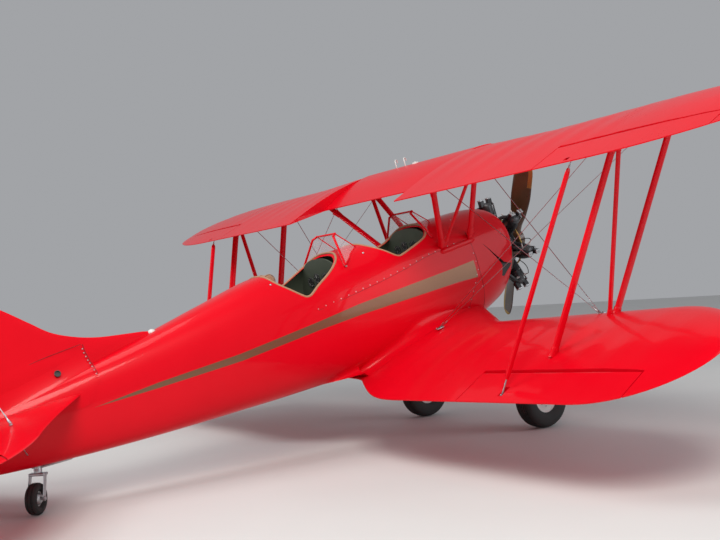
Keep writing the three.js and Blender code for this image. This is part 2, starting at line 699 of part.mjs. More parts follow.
function stabilizerAndElevator(body, side) {
  const flat = (u, s, t) => [-s, side * u, ELEVATOR_HINGE.z + t];
  const slab = lensLoft(TAILPLANE, flat);
  const edge = ELEVATOR_HINGE.s - NOSE - RUNNING_GAP;
  const keep = (s0, s1, y0 = 0) => boxSolid(at(s0, side * y0, 0), at(s1, side * 1700, 500));
  let stabilizer = seat(slab.intersect(keep(5100, edge)), body, 0, side, 0);
  const corners = [[6100, 0], [7000, 0], [7000, 480], [6240, 82], [6100, 82]];
  const wedge = loft([0, 500].map((z) => corners.map(([s, y]) => [-s, side * y, z])));
  const nose = bar(
    at(ELEVATOR_HINGE.s, side * 90, ELEVATOR_HINGE.z),
    at(ELEVATOR_HINGE.s, side * 1525, ELEVATOR_HINGE.z),
    NOSE * 2,
    NOSE * 2,
    12,
  ).intersect(slab);
  let elevator = slab.intersect(keep(ELEVATOR_HINGE.s, 7100)).subtract(wedge).add(nose);
  const tubeEnds = [100, -80].map((y) => at(ELEVATOR_HINGE.s, y, ELEVATOR_HINGE.z));
  if (side > 0) elevator = elevator.add(bar(...tubeEnds, 26, 26, 12));
  for (const y of [420, 1200])
    [stabilizer, elevator] = addHinge(
      stabilizer,
      elevator,
      at(ELEVATOR_HINGE.s, side * y, ELEVATOR_HINGE.z),
      new THREE.Vector3(0, 1, 0),
      new THREE.Vector3(1, 0, 0),
      NOSE + RUNNING_GAP + 14,
    );
  return [stabilizer, elevator];
}

// Gear. The wheels stand in the floor's frame, so these turn a place there into the airframe's frame.
function airframeZ(s, height) {
  return (height - DATUM_HEIGHT + s * Math.sin(PITCH)) / Math.cos(PITCH);
}

function floorPlace(s, y, z) {
  const x = -s;
  return new THREE.Vector3(
    Math.cos(PITCH) * x - Math.sin(PITCH) * z,
    y,
    Math.sin(PITCH) * x + Math.cos(PITCH) * z + DATUM_HEIGHT,
  );
}

function gearLeg(carrier, side) {
  const axleZ = airframeZ(MAIN_WHEEL.s, MAIN_WHEEL.radius);
  const knuckle = at(MAIN_WHEEL.s, side * (MAIN_WHEEL.y - 165), axleZ);
  const parts = join(
    bar(at(1365, side * 330, -380), knuckle, 130, 62, 12),
    bar(at(1670, side * 330, -430), knuckle, 58, 32, 8),
    bar(at(1500, side * 60, -450), knuckle, 50, 28, 8),
  );
  const axlePlace = (y) => at(MAIN_WHEEL.s, side * y, axleZ);
  const axle = bar(axlePlace(MAIN_WHEEL.y - 175), axlePlace(MAIN_WHEEL.y + 60), 53.6, 53.6, 14);
  return seat(parts, carrier, 0, side * 0.3, -1).add(axle);
}

function tyre({ radius, halfWidth }, rimRadius, sides) {
  const outer = radius / Math.cos(Math.PI / sides);
  // Section rows: across, radius
  const w = halfWidth;
  const half = [
    [w * 0.3, outer], [w * 0.6, outer - 12], [w, outer - 60], [w, rimRadius + 35], [w * 0.7, rimRadius],
  ];
  const other = half.map(([across, r]) => [-across, r]).reverse();
  const rows = [...other, ...half, other[0]];
  return turned(rows, sides, (g) => g.rotateY(Math.PI / sides));
}

function mainHub() {
  const w = MAIN_WHEEL.halfWidth;
  const rows = [
    [-w * 0.65, 27.5], [-w * 0.65, 60], [-w * 0.5, 125], [-w * 0.66, 139.5],
    [w * 0.66, 139.5], [w * 0.5, 125], [w * 0.75, 50], [w * 0.75, 27.5], [-w * 0.65, 27.5],
  ];
  return turned(rows, 28, (g) => g.rotateY(Math.PI / 28));
}

function tailWheel() {
  const { radius, halfWidth: w } = TAIL_WHEEL;
  const outer = radius / Math.cos(Math.PI / 18);
  const half = [
    [w * 0.3, outer], [w * 0.55, outer - 5], [w, outer - 26], [w, 78],
    [w * 0.5, 62], [w * 0.9, 40], [w * 0.9, 11],
  ];
  const other = half.map(([across, r]) => [-across, r]).reverse();
  const rows = [...other, ...half, other[0]];
  return turned(rows, 18, (g) => g.rotateY(Math.PI / 18));
}

// The swivelling fork: two cheeks, an axle and a king pin, in the floor's frame at the wheel's centre.
const KING_PIN = { forward: 66, foot: 183.3 }; // from the tail wheel's centre

function tailFork() {
  const top = 175;
  const cheek = (n) => bar(new THREE.Vector3(0, n * 62, -6), new THREE.Vector3(60, n * 58, top), 46, 12, 8);
  const pin = (z) => new THREE.Vector3(KING_PIN.forward, 0, z);
  return join(
    cheek(-1),
    cheek(1),
    boxSolid(new THREE.Vector3(34, -66, top - 14), new THREE.Vector3(96, 66, top + 8)),
    bar(new THREE.Vector3(0, -68, 0), new THREE.Vector3(0, 68, 0), 20, 20, 10),
    bar(pin(top), pin(top + 38), 30, 30, 14),
  );
}

function tailSpring(body, toAirframe) {
  const centre = floorPlace(TAIL_WHEEL.s, 0, airframeZ(TAIL_WHEEL.s, TAIL_WHEEL.radius));
  const pin = centre.clone().add(new THREE.Vector3(KING_PIN.forward, 0, 0));
  const place = (dx, dz) => toAirframe(pin.clone().add(new THREE.Vector3(dx, 0, dz)));
  const housing = bar(place(0, KING_PIN.foot + 0.3), place(0, KING_PIN.foot + 70), 62, 62, 14);
  const bore = bar(place(0, KING_PIN.foot - 20), place(0, KING_PIN.foot + 35), 31.6, 31.6, 14);
  const leaf = bar(place(0, KING_PIN.foot + 42), place(260, 372), 24, 56, 8);
  const post = bar(place(10, KING_PIN.foot + 50), place(90, 420), 60, 44, 8);
  return seat(join(housing, leaf, post).subtract(bore), body, 0, 0, -1);
}

// Wires: each set is one piece, joined by the plate that its wires meet at

const wire = (a, b) => bar(a, b, 9, 6, 6);

function plateAt(p, s = 60, y = 50) {
  const half = new THREE.Vector3(s / 2, y / 2, 7);
  return boxSolid(p.clone().sub(half), p.clone().add(half));
}

// From the centre section down to the lower wing at the front strut's foot.
function landingWires(carriers, side) {
  const foot = wingPoint(LOWER, 0.1, side * 2440).add(new THREE.Vector3(0, 0, 128));
  const low = foot.clone().setZ(foot.z - 6);
  const fore = wingPoint(UPPER, 0.14, side * 760).add(new THREE.Vector3(0, 0, 60));
  const aft = wingPoint(UPPER, 0.58, side * 760).add(new THREE.Vector3(0, 0, 60));
  const whole = join(wire(foot, fore), wire(low, aft), plateAt(low, 76, 44));
  return seat(seat(whole, carriers.lower, 0, 0, 1), carriers.centre, 0, 0, -1);
}

// From the root of the lower wing up to the upper wing at the struts' heads.
function flyingWires(carriers, side) {
  const root = wingPoint(LOWER, 0.2, side * 640).add(new THREE.Vector3(0, 0, 160));
  const footAhead = root.clone().add(new THREE.Vector3(15, 0, 0));
  const footBehind = root.clone().add(new THREE.Vector3(-15, 0, 0));
  const fore = wingPoint(UPPER, 0.14, side * 2860).add(new THREE.Vector3(0, 0, 50));
  const aft = wingPoint(UPPER, 0.6, side * 2780).add(new THREE.Vector3(0, 0, 40));
  const whole = join(wire(footAhead, fore), wire(footBehind, aft), plateAt(root, 90, 44));
  return seat(seat(whole, carriers.lower, 0, 0, 1), carriers.upper, 0, 0, -1);
}

// From the fin over the stabilizer's bolt down to the fuselage.
const TAIL_BOLT = { s: 5900, y: 540 };

function tailWires(carriers, side) {
  const { z } = ELEVATOR_HINGE;
  const bolt = (radius, half) => {
    const ends = [-half, half].map((dz) => at(TAIL_BOLT.s, side * TAIL_BOLT.y, z + dz));
    return bar(...ends, radius * 2, radius * 2, 12);
  };
  const whole = join(
    wire(at(TAIL_BOLT.s, side * TAIL_BOLT.y, z + 50), at(5960, 0, 860)),
    wire(at(TAIL_BOLT.s, side * TAIL_BOLT.y, z - 50), at(5760, side * 40, -90)),
    bolt(5, 56),
    bolt(11, 56).subtract(bolt(12, 38)),
  );
  const stabilizer = carriers.stabilizer.subtract(bolt(5.3, 80));
  const cut = whole.subtract(bolt(12, 38).subtract(bolt(5, 60)).intersect(stabilizer));
  return [stabilizer, seat(seat(cut, carriers.fin, 0, side, 0), carriers.body, 0, side, -1)];
}

// Assembly

export const root = new THREE.Group();
const airframe = new THREE.Group();
airframe.rotation.y = -PITCH;
airframe.position.z = DATUM_HEIGHT;
root.add(airframe);
airframe.updateMatrixWorld(true);
const fromFloor = airframe.matrixWorld.clone().invert();
const toAirframe = (p) => p.clone().applyMatrix4(fromFloor);

function add(name, solid, material, parent = airframe) {
  const mesh = new THREE.Mesh(geometryOf(solid), material);
  mesh.name = name;
  parent.add(mesh);
  return mesh;
}

const body = fuselage();
const nose = cowl();
const motor = engine();
const shell = join(body, nose, nose.translate([-2 * SEAT_GAP, 0, 0]));
add("fuselage", body, paint);
add("nose_cowl", nose, paint);
add("engine", motor, engineBlack);
add("exhaust", exhaust(motor, nose), steel);
add("propeller", propeller(), engineBlack);
add("headrest", headrest(body), leather);
const cockpits = [
  ["front", 1790, FRONT_SCREEN, 1900],
  ["rear", 2770, REAR_SCREEN, 2930],
];
for (const [where, panelS, screen, seatS] of cockpits) {
  add(`${where}_panel`, instrumentPanel(panelS), interior);
  add(`${where}_seat`, seatPiece(seatS), leather);
  add(`${where}_windscreen_glass`, windscreenGlass(screen, body), clear);
  add(`${where}_windscreen_frame`, windscreenFrame(screen, body), paint);
}

const centre = centreSection();
add("wing_centre_section", centre, paint);
const [fin, rudder] = finAndRudder(body);
add("fin", fin, paint);
add("rudder", rudder, paint);

for (const [hand, side] of [["left", 1], ["right", -1]]) {
  const [upper, upperAileron] = wingAndAileron(UPPER, UPPER_AILERON, AILERON_STRUT_UPPER_Y, side);
  const [lower, lowerAileron] = wingAndAileron(LOWER, LOWER_AILERON, AILERON_STRUT_LOWER_Y, side);
  const lowerWing = seat(lower, shell, 0, side, -0.6).add(tieDownPlate(side));
  add(`upper_wing_${hand}`, upper, paint);
  add(`upper_aileron_${hand}`, upperAileron, paint);
  add(`lower_wing_${hand}`, lowerWing, paint);
  add(`lower_aileron_${hand}`, lowerAileron, paint);
  add(`aileron_strut_${hand}`, aileronStrut(side), paint);
  add(`interplane_strut_${hand}`, interplaneStrut(lowerWing, upper, side), paint);
  add(`cabane_${hand}`, cabane(shell, centre, side), paint);

  const [stabilizer, elevator] = stabilizerAndElevator(body, side);
  const carriers = { lower: lowerWing, upper, centre, fin, body, stabilizer };
  const [drilled, tailSet] = tailWires(carriers, side);
  add(`stabilizer_${hand}`, drilled, paint);
  add(`elevator_${hand}`, elevator, paint);
  add(`landing_wires_${hand}`, landingWires(carriers, side), steel);
  add(`flying_wires_${hand}`, flyingWires(carriers, side), steel);
  add(`tail_wires_${hand}`, tailSet, steel);

  add(`gear_leg_${hand}`, gearLeg(join(shell, lower), side), paint);
  const wheel = new THREE.Group();
  const wheelZ = airframeZ(MAIN_WHEEL.s, MAIN_WHEEL.radius);
  wheel.position.copy(floorPlace(MAIN_WHEEL.s, side * MAIN_WHEEL.y, wheelZ));
  if (side < 0) wheel.rotation.x = Math.PI;
  root.add(wheel);
  add(`main_tyre_${hand}`, tyre(MAIN_WHEEL, 140, 28), rubber, wheel);
  add(`main_hub_${hand}`, mainHub(), steel, wheel);
}

// The tail wheel and its fork, turned together about the king pin.
const tail = new THREE.Group();
tail.position.copy(floorPlace(TAIL_WHEEL.s, 0, airframeZ(TAIL_WHEEL.s, TAIL_WHEEL.radius)));
tail.position.x += KING_PIN.forward * (1 - Math.cos(TAIL_SWIVEL));
tail.position.y -= KING_PIN.forward * Math.sin(TAIL_SWIVEL);
tail.rotation.z = TAIL_SWIVEL;
root.add(tail);
add("tail_spring", tailSpring(body, toAirframe), steel);
add("tail_fork", tailFork(), steel, tail);
add("tail_wheel", tailWheel(), rubber, tail);

root.updateMatrixWorld(true);
const bounds = new THREE.Box3().setFromObject(root);
root.position.x = -(bounds.min.x + bounds.max.x) / 2;

export default root;
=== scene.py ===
import bpy
import json
from math import atan2, copysign, cos, pi, radians, sin, sqrt
from mathutils import Matrix, Vector


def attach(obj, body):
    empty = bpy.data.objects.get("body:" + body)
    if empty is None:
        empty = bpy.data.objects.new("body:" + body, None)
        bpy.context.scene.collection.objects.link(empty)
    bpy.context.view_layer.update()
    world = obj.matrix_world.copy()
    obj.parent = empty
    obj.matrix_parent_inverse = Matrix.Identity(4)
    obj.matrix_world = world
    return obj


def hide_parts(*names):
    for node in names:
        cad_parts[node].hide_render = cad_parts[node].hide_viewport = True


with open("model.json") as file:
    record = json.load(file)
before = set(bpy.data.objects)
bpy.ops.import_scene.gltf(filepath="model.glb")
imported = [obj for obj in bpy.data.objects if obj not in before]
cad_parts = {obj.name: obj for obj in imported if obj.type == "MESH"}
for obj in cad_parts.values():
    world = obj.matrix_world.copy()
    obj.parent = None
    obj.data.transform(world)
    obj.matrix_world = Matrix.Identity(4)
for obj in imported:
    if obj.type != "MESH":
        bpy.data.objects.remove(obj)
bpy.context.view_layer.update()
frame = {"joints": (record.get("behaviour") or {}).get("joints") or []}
print("stage: frame loaded")

# the level airframe: s metres aft, y to the left, z up, then pitched as it stands on its gear
airframe = {"pitch": 13.5, "propeller": (0.22, 0.09)}
jointPlaces = {joint["name"]: Vector(joint["pos_m"]) for joint in frame["joints"]}


def levelMatrix():
    pitch = Matrix.Rotation(-radians(airframe["pitch"]), 4, "Y")
    s, z = airframe["propeller"]
    return Matrix.Translation(jointPlaces["propeller_spin"]) @ pitch @ Matrix.Translation((s, 0, -z))


toPark = levelMatrix()
toLevel = toPark.inverted()
sides = (("left", 1), ("right", -1))


# camera, at the photograph's viewing angle
camera = {"place": (7.3646, -7.1384, 1.4551), "azimuth": 54.945, "elevation": 1.398, "roll": -5.098,
        "lens": 45.17}


def addCamera():
    data = bpy.data.cameras.new("camera")
    data.lens = camera["lens"]
    data.sensor_width = 36
    data.clip_start = 0.05
    data.clip_end = 200
    shot = bpy.data.objects.new("camera", data)
    bpy.context.scene.collection.objects.link(shot)
    azimuth, elevation = radians(camera["azimuth"]), radians(camera["elevation"])
    ahead = Vector((cos(azimuth) * cos(elevation), sin(azimuth) * cos(elevation), sin(elevation)))
    turn = ahead.to_track_quat("-Z", "Y").to_matrix().to_4x4() @ Matrix.Rotation(radians(camera["roll"]), 4,
            "Z")
    behind, side, height = camera["place"]
    start = toPark @ Vector((0, 0, 0))
    shot.matrix_world = Matrix.Translation((start.x - behind, side, height)) @ turn
    bpy.context.scene.camera = shot


addCamera()
bpy.context.scene.view_settings.view_transform = "Standard"


# small helpers round Blender's operators

def deselectAll():
    if bpy.context.object and bpy.context.object.mode != "OBJECT":
        bpy.ops.object.mode_set(mode="OBJECT")
    bpy.ops.object.select_all(action="DESELECT")


def pickOnly(piece):
    deselectAll()
    piece.select_set(True)
    bpy.context.view_layer.objects.active = piece


def freshActive(name):
    piece = bpy.context.object
    piece.name = piece.data.name = name
    return piece


def cleanUp(piece, angle=35):
    pickOnly(piece)
    bpy.ops.object.mode_set(mode="EDIT")
    bpy.ops.mesh.select_all(action="SELECT")
    bpy.ops.mesh.remove_doubles(threshold=0.00002)
    bpy.ops.mesh.normals_make_consistent(inside=False)
    bpy.ops.object.mode_set(mode="OBJECT")
    bpy.ops.object.shade_smooth_by_angle(angle=radians(angle))
    return piece


def settle(piece):
    pickOnly(piece)
    bpy.ops.object.transform_apply(location=True, rotation=True, scale=True)
    return piece


# from the level airframe to its place on the gear
def park(piece):
    piece.matrix_world = toPark @ piece.matrix_world
    return settle(piece)


def applyModifier(piece, kind, **settings):
    pickOnly(piece)
    modifier = piece.modifiers.new(kind.lower(), kind)
    for name, value in settings.items():
        setattr(modifier, name, value)
    bpy.ops.object.modifier_apply(modifier=modifier.name)
    return piece


def cutWith(piece, cutter, operation="DIFFERENCE"):
    applyModifier(piece, "BOOLEAN", operation=operation, object=cutter, solver="EXACT")
    bpy.data.objects.remove(cutter)
    return piece


def joinAll(pieces, name):
    deselectAll()
    for piece in pieces:
        piece.select_set(True)
    bpy.context.view_layer.objects.active = pieces[0]
    bpy.ops.object.join()
    return freshActive(name)


def copyOf(piece, name, matrix=None):
    other = piece.copy()
    other.data = piece.data.copy()
    other.name = other.data.name = name
    bpy.context.scene.collection.objects.link(other)
    if matrix is not None:
        other.data.transform(matrix)
        if matrix.determinant() < 0:
            other.data.flip_normals()
    return other


def turns(count, start=0.0):
    return [2 * pi * (i + start) / count for i in range(count)]


def spread(first, last, count):
    return [first + (last - first) * i / count for i in range(count + 1)]


# a grid is rolled through rings of points into one closed skin
def rolledSkin(name, rings, capped=True, angle=35):
    deselectAll()
    around = len(rings[0])
    bpy.ops.mesh.primitive_grid_add(x_subdivisions=around, y_subdivisions=len(rings) - 1)
    piece = freshActive(name)
    corners = piece.data.vertices
    for row, ring in enumerate(rings):
        for step in range(around + 1):
            corners[row * (around + 1) + step].co = ring[step % around]
    bpy.ops.object.mode_set(mode="EDIT")
    bpy.ops.mesh.select_all(action="SELECT")
    bpy.ops.mesh.remove_doubles(threshold=0.00002)
    if capped:
        bpy.ops.mesh.fill_holes(sides=0)
    bpy.ops.object.mode_set(mode="OBJECT")
    return cleanUp(piece, angle)


# a profile of (along, radius) pairs turned about an axis through a place
def turned(name, profile, steps=32, place=(0, 0, 0), axis=(1, 0, 0), angle=35, capped=True):
    turn = Vector((0, 0, 1)).rotation_difference(Vector(axis)).to_matrix().to_4x4()
    move = Matrix.Translation(place) @ turn
    rings = []
    for along, radius in profile:
        circle = [(radius * cos(a), radius * sin(a), along) for a in turns(steps)]
        rings.append([move @ Vector(point) for point in circle])
    return rolledSkin(name, rings, capped, angle)


# a profile's first half, what lies in the middle, and the first half mirrored
def mirrored(half, middle=()):
    return [*half, *middle] + [(-along, radius) for along, radius in half[::-1]]


# an oval bar between two places, with rows of (share of the length, share of the section)
def ovalBar(name, start, end, along, across, rows=((0, 0.4), (0.015, 0.9), (0.04, 1), (0.96, 1), (0.985, 0.9),
        (1, 0.4)), sides=20, pointed=0.0, foreTo=(1, 0, 0)):
    start, end = Vector(start), Vector(end)
    axis = (end - start).normalized()
    fore = Vector(foreTo)
    if abs(fore.dot(axis)) > 0.9:
        fore = Vector((0, 0, 1))
    fore = (fore - axis * fore.dot(axis)).normalized()
    side = axis.cross(fore)
    rings = []
    for share, size in rows:
        centre = start.lerp(end, share)
        ring = []
        for a in turns(sides):
            lengthwise = cos(a) - pointed * sin(a) ** 2 * 0.5
            ring.append(centre + fore * along / 2 * size * lengthwise + side * across / 2 * size * sin(a))
        rings.append(ring)
    return rolledSkin(name, rings, True, 50)


def roundRod(name, start, end, radius, sides=12):
    return ovalBar(name, start, end, radius * 2, radius * 2, ((0, 1), (1, 1)), sides)


# a tube along a smooth path
def tubeAlong(name, points, radius, sides=10, closed=False, segments=6):
    curve = bpy.data.curves.new(name, "CURVE")
    curve.dimensions = "3D"
    curve.bevel_depth = radius
    curve.bevel_resolution = max(1, sides // 4 - 1)
    curve.resolution_u = segments
    curve.use_fill_caps = True
    spline = curve.splines.new("BEZIER")
    spline.bezier_points.add(len(points) - 1)
    spline.use_cyclic_u = closed
    for knot, point in zip(spline.bezier_points, points):
        knot.co = point
        knot.handle_left_type = knot.handle_right_type = "AUTO"
    tube = bpy.data.objects.new(name, curve)
    bpy.context.scene.collection.objects.link(tube)
    pickOnly(tube)
    bpy.ops.object.convert(target="MESH")
    return cleanUp(freshActive(name), 60)


# a smooth curve through table rows, read at one place
def smoothRow(table, x):
    if x <= table[0][0]:
        return list(table[0][1:])
    if x >= table[-1][0]:
        return list(table[-1][1:])
    i = max(k for k in range(len(table) - 1) if table[k][0] <= x)
    before, low, high = table[max(i - 1, 0)], table[i], table[i + 1]
    after = table[min(i + 2, len(table) - 1)]
    span = high[0] - low[0]
    t = (x - low[0]) / span
    values = []
    for k in range(1, len(low)):
        rise = (high[k] - low[k]) / span
        first = (low[k] - before[k]) / (low[0] - before[0]) if before is not low else rise
        last = (after[k] - high[k]) / (after[0] - high[0]) if after is not high else rise
        slopeLow = 0 if first * rise <= 0 else 2 * first * rise / (first + rise)
        slopeHigh = 0 if last * rise <= 0 else 2 * last * rise / (last + rise)
        values.append(low[k] * (2 * t ** 3 - 3 * t ** 2 + 1) + high[k] * (3 * t ** 2 - 2 * t ** 3)
                + span * (slopeLow * (t ** 3 - 2 * t ** 2 + t) + slopeHigh * (t ** 3 - t ** 2)))
    return values


def boxCutter(low, high):
    deselectAll()
    bpy.ops.mesh.primitive_cube_add(size=1)
    block = freshActive("block")
    middle = [(a + b) / 2 for a, b in zip(low, high)]
    size = [abs(b - a) for a, b in zip(low, high)]
    block.data.transform(Matrix.Translation(middle) @ Matrix.Diagonal((*size, 1)))
    return block


def bevelBox(low, high, width, segments=3):
    return applyModifier(boxCutter(low, high), "BEVEL", width=width, segments=segments)


# a side-view outline of (s, z) pairs pushed across the aircraft
def sideCutter(outline, y0, y1):
    rings = [[Vector((-s, y, z)) for s, z in outline] for y in (y0, y1)]
    return rolledSkin("cutter", rings)


# materials: one class for sockets, one maker for other nodes

class Wire:
    def __init__(self, tree, socket):
        self.tree = tree
        self.socket = socket

    def maths(self, operation, other=None, swapped=False):
        node = self.tree.nodes.new("ShaderNodeMath")
        node.operation = operation
        values = [other, self] if swapped else [self, other]
        for slot, value in zip(node.inputs, values):
            if isinstance(value, Wire):
                self.tree.links.new(value.socket, slot)
            elif value is not None:
                slot.default_value = value
        return Wire(self.tree, node.outputs[0])

    def __add__(self, other): return self.maths("ADD", other)
    def __radd__(self, other): return self.maths("ADD", other, True)
    def __sub__(self, other): return self.maths("SUBTRACT", other)
    def __rsub__(self, other): return self.maths("SUBTRACT", other, True)
    def __mul__(self, other): return self.maths("MULTIPLY", other)
    def __rmul__(self, other): return self.maths("MULTIPLY", other, True)
    def __truediv__(self, other): return self.maths("DIVIDE", other)
    def __gt__(self, other): return self.maths("GREATER_THAN", other)
    def __lt__(self, other): return self.maths("LESS_THAN", other)
    def least(self, other): return self.maths("MINIMUM", other)
    def most(self, other): return self.maths("MAXIMUM", other)
    def size(self): return self.maths("ABSOLUTE")


class Finish:
    def __init__(self, name, color, roughness=0.5, metallic=0.0, coat=0.0, coatRoughness=0.05, sheen=0.0):
        self.material = bpy.data.materials.new(name)
        self.material.use_nodes = True
        self.material.diffuse_color = (*color, 1)
        self.tree = self.material.node_tree
        self.shader = self.tree.nodes["Principled BSDF"]
        self.set("Base Color", (*color, 1))
        self.set("Roughness", roughness)
        self.set("Metallic", metallic)
        self.set("Coat Weight", coat)
        self.set("Coat Roughness", coatRoughness)
        self.set("Sheen Weight", sheen)

    def set(self, socket, value):
        if isinstance(value, Wire):
            self.tree.links.new(value.socket, self.shader.inputs[socket])
        else:
            self.shader.inputs[socket].default_value = value

    def node(self, kind, settings=None, inputs=None, output=0):
        node = self.tree.nodes.new(kind)
        for name, value in (settings or {}).items():
            if name == "stops":
                ramp = node.color_ramp
                while len(ramp.elements) < len(value):
                    ramp.elements.new(0.5)
                for element, (place, color) in zip(ramp.elements, value):
                    element.position = place
                    element.color = color if isinstance(color, tuple) else (color, color, color, 1)
            else:
                setattr(node, name, value)
        for name, value in (inputs or {}).items():
            if isinstance(value, Wire):
                self.tree.links.new(value.socket, node.inputs[name])
            else:
                node.inputs[name].default_value = value
        return Wire(self.tree, node.outputs[output])

    def place(self):
        return self.node("ShaderNodeTexCoord", output=3)

    # object coordinates turned back into the level airframe
    def levelPlace(self):
        turn = toLevel.to_euler()
        return self.node("ShaderNodeMapping", {"vector_type": "POINT"},
                {"Vector": self.place(), "Location": toLevel.to_translation(), "Rotation": turn})

    def parts(self, vector):
        split = self.node("ShaderNodeSeparateXYZ", None, {"Vector": vector})
        node = split.socket.node
        return [Wire(self.tree, node.outputs[i]) for i in range(3)]

    def noise(self, vector, scale, detail=3.0, rough=0.55):
        return self.node("ShaderNodeTexNoise", None,
                {"Vector": vector, "Scale": scale, "Detail": detail, "Roughness": rough})

    def blend(self, mask, low, high):
        mix = self.node("ShaderNodeMix", {"data_type": "RGBA"}, {"Factor": mask}, 2)
        node = mix.socket.node
        for slot, color in ((node.inputs[6], low), (node.inputs[7], high)):
            if isinstance(color, Wire):
                self.tree.links.new(color.socket, slot)
            else:
                slot.default_value = (*color, 1)
        return mix

    def ramp(self, value, stops):
        return self.node("ShaderNodeValToRGB", {"stops": stops}, {"Fac": value})

    def bump(self, height, distance=0.001, strength=1.0):
        normal = self.node("ShaderNodeBump", None, {"Height": height, "Distance": distance,
                "Strength": strength})
        self.set("Normal", normal)


print("stage: helpers ready")


# finishes

paint = {"red": (0.74, 0.0015, 0.012), "deep": (0.60, 0.001, 0.008), "roughness": 0.30,
        "bronze": (0.16, 0.075, 0.040), "bronzePale": (0.27, 0.145, 0.085), "ribPitch": 0.3}


def redPaint(name, striped=False, ribbed=False):
    finish = Finish(name, paint["red"], paint["roughness"], 0.0, 0.2, 0.05)
    finish.set("Specular IOR Level", 0.08)
    place = finish.levelPlace()
    broad = finish.noise(place, 1.3, 4)
    fine = finish.noise(place, 60, 2)
    color = finish.blend(broad, paint["deep"], paint["red"])
    roughness = fine * 0.10 + broad * 0.12 + (paint["roughness"] - 0.1)
    height = finish.noise(place, 350, 1) * 0.15
    x, y, z = finish.parts(place)
    if ribbed:
        across = (y / paint["ribPitch"]).maths("FRACT") - 0.5
        tape = finish.ramp(across.size(), [(0.0, 1.0), (0.05, 1.0), (0.075, 0.0)])
        height = height + tape * 1.0 + finish.noise(place, 900, 0) * 0.1
    if striped:
        s = (0 - x - 1.25) / 4.0
        low = finish.ramp(s, [(0.0, 0.12), (0.075, 0.20), (0.375, 0.36), (0.49, 0.385), (0.68, 0.37),
                (0.86, 0.46), (0.985, 0.545)])
        high = finish.ramp(s, [(0.0, 0.57), (0.075, 0.567), (0.375, 0.605), (0.49, 0.565), (0.68, 0.522),
                (0.86, 0.567), (0.985, 0.548)])
        level = (z + 0.1) / 0.4
        inside = ((level - low) * 160).maths("ADD", 0.5).most(0).least(1)
        inside = inside * ((high - level) * 160).maths("ADD", 0.5).most(0).least(1)
        inside = inside * (s > 0.012) * (s < 0.99)
        flake = finish.noise(place, 700, 1)
        bronze = finish.blend(flake, paint["bronze"], paint["bronzePale"])
        color = finish.blend(inside, color, bronze)
        finish.set("Metallic", inside * 0.55)
    finish.set("Base Color", color)
    finish.set("Roughness", roughness)
    finish.bump(height, 0.0006, 0.35)
    return finish.material


def plainFinish(name, low, high, scale, roughness, metallic=0.0, coat=0.0, bump=0.0004,
        bumpScale=120, sheen=0.0):
    finish = Finish(name, low, roughness, metallic, coat, 0.1, sheen)
    place = finish.place()
    cloud = finish.noise(place, scale, 4)
    grain = finish.noise(place, bumpScale, 2)
    finish.set("Base Color", finish.blend(cloud, low, high))
    finish.set("Roughness", cloud * 0.16 + grain * 0.08 + (roughness - 0.1))
    finish.bump(grain, bump, 0.6)
    return finish.material


def clearScreen():
    finish = Finish("clear_screen", (0.86, 0.92, 0.95), 0.04, 0.0, 0.6, 0.03)
    smear = finish.noise(finish.place(), 9, 3)
    finish.set("Roughness", smear * 0.06 + 0.02)
    finish.set("Alpha", smear * 0.03 + 0.10)
    finish.material.surface_render_method = "BLENDED"
    return finish.material


finishes = {
    "red": redPaint("red_gloss"),
    "redStriped": redPaint("red_gloss_striped", striped=True),
    "redFabric": redPaint("red_doped_fabric", ribbed=True),
    "interior": plainFinish("cockpit_green", (0.035, 0.045, 0.03), (0.075, 0.09, 0.06), 6, 0.6),
    "black": plainFinish("engine_black", (0.012, 0.012, 0.014), (0.035, 0.035, 0.038), 18, 0.42, 0.3, 0.2),
    "steel": plainFinish("brushed_steel", (0.36, 0.37, 0.39), (0.58, 0.59, 0.61), 14, 0.32, 1.0),
    "darkSteel": plainFinish("heat_stained_steel", (0.09, 0.075, 0.065), (0.24, 0.20, 0.17), 9, 0.45, 0.85),
    "aluminium": plainFinish("cast_aluminium", (0.42, 0.43, 0.44), (0.6, 0.61, 0.62), 22, 0.42, 0.9, 0.0,
        0.0008, 260),
    # the cylinder heads take a darker alloy colour than cast_aluminium
    "darkHead": plainFinish("darkened_alloy", (0.05, 0.05, 0.052), (0.13, 0.13, 0.135), 22, 0.4, 0.8, 0.0,
        0.0008, 260),
    "brass": plainFinish("brass", (0.36, 0.22, 0.07), (0.55, 0.36, 0.12), 12, 0.3, 1.0),
    "rubber": plainFinish("tyre_rubber", (0.012, 0.012, 0.012), (0.03, 0.029, 0.028), 10, 0.75, 0, 0,
        0.0006, 300),
    "leather": plainFinish("tan_leather", (0.30, 0.145, 0.075), (0.46, 0.24, 0.135), 26, 0.5, 0, 0.1,
        0.0012, 330, 0.1),
    "white": plainFinish("white_enamel", (0.62, 0.61, 0.58), (0.75, 0.74, 0.72), 5, 0.3, 0, 0.5),
    "wood": plainFinish("varnished_wood", (0.035, 0.013, 0.006), (0.085, 0.034, 0.014), 9, 0.28, 0,
        0.7, 0.0003, 60),
    "seam": plainFinish("seam_shadow", (0.10, 0.002, 0.004), (0.16, 0.003, 0.006), 30, 0.6),
    "webbing": plainFinish("harness_webbing", (0.16, 0.13, 0.08), (0.24, 0.20, 0.13), 60, 0.8, 0, 0,
        0.0008, 700),
    "glass": clearScreen(),
    # black for the real fittings, and also painted shade: the inner faces of the cowl's front recess and side
    # vents and the floors of the lifting tube ends take it to stand for dark openings
    "blackFittingsAndShade": plainFinish("black_fittings_and_painted_shade", (0.01, 0.01, 0.01), (0.025, 0.025, 0.025), 30, 0.45),
}
print("stage: finishes ready")


def dress(piece, *names):
    piece.data.materials.clear()
    for name in names:
        piece.data.materials.append(finishes[name] if isinstance(name, str) else name)
    return piece


def onBody(piece, body, slot=None, *nodes):
    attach(piece, body)
    if nodes:
        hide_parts(*nodes)
    return piece


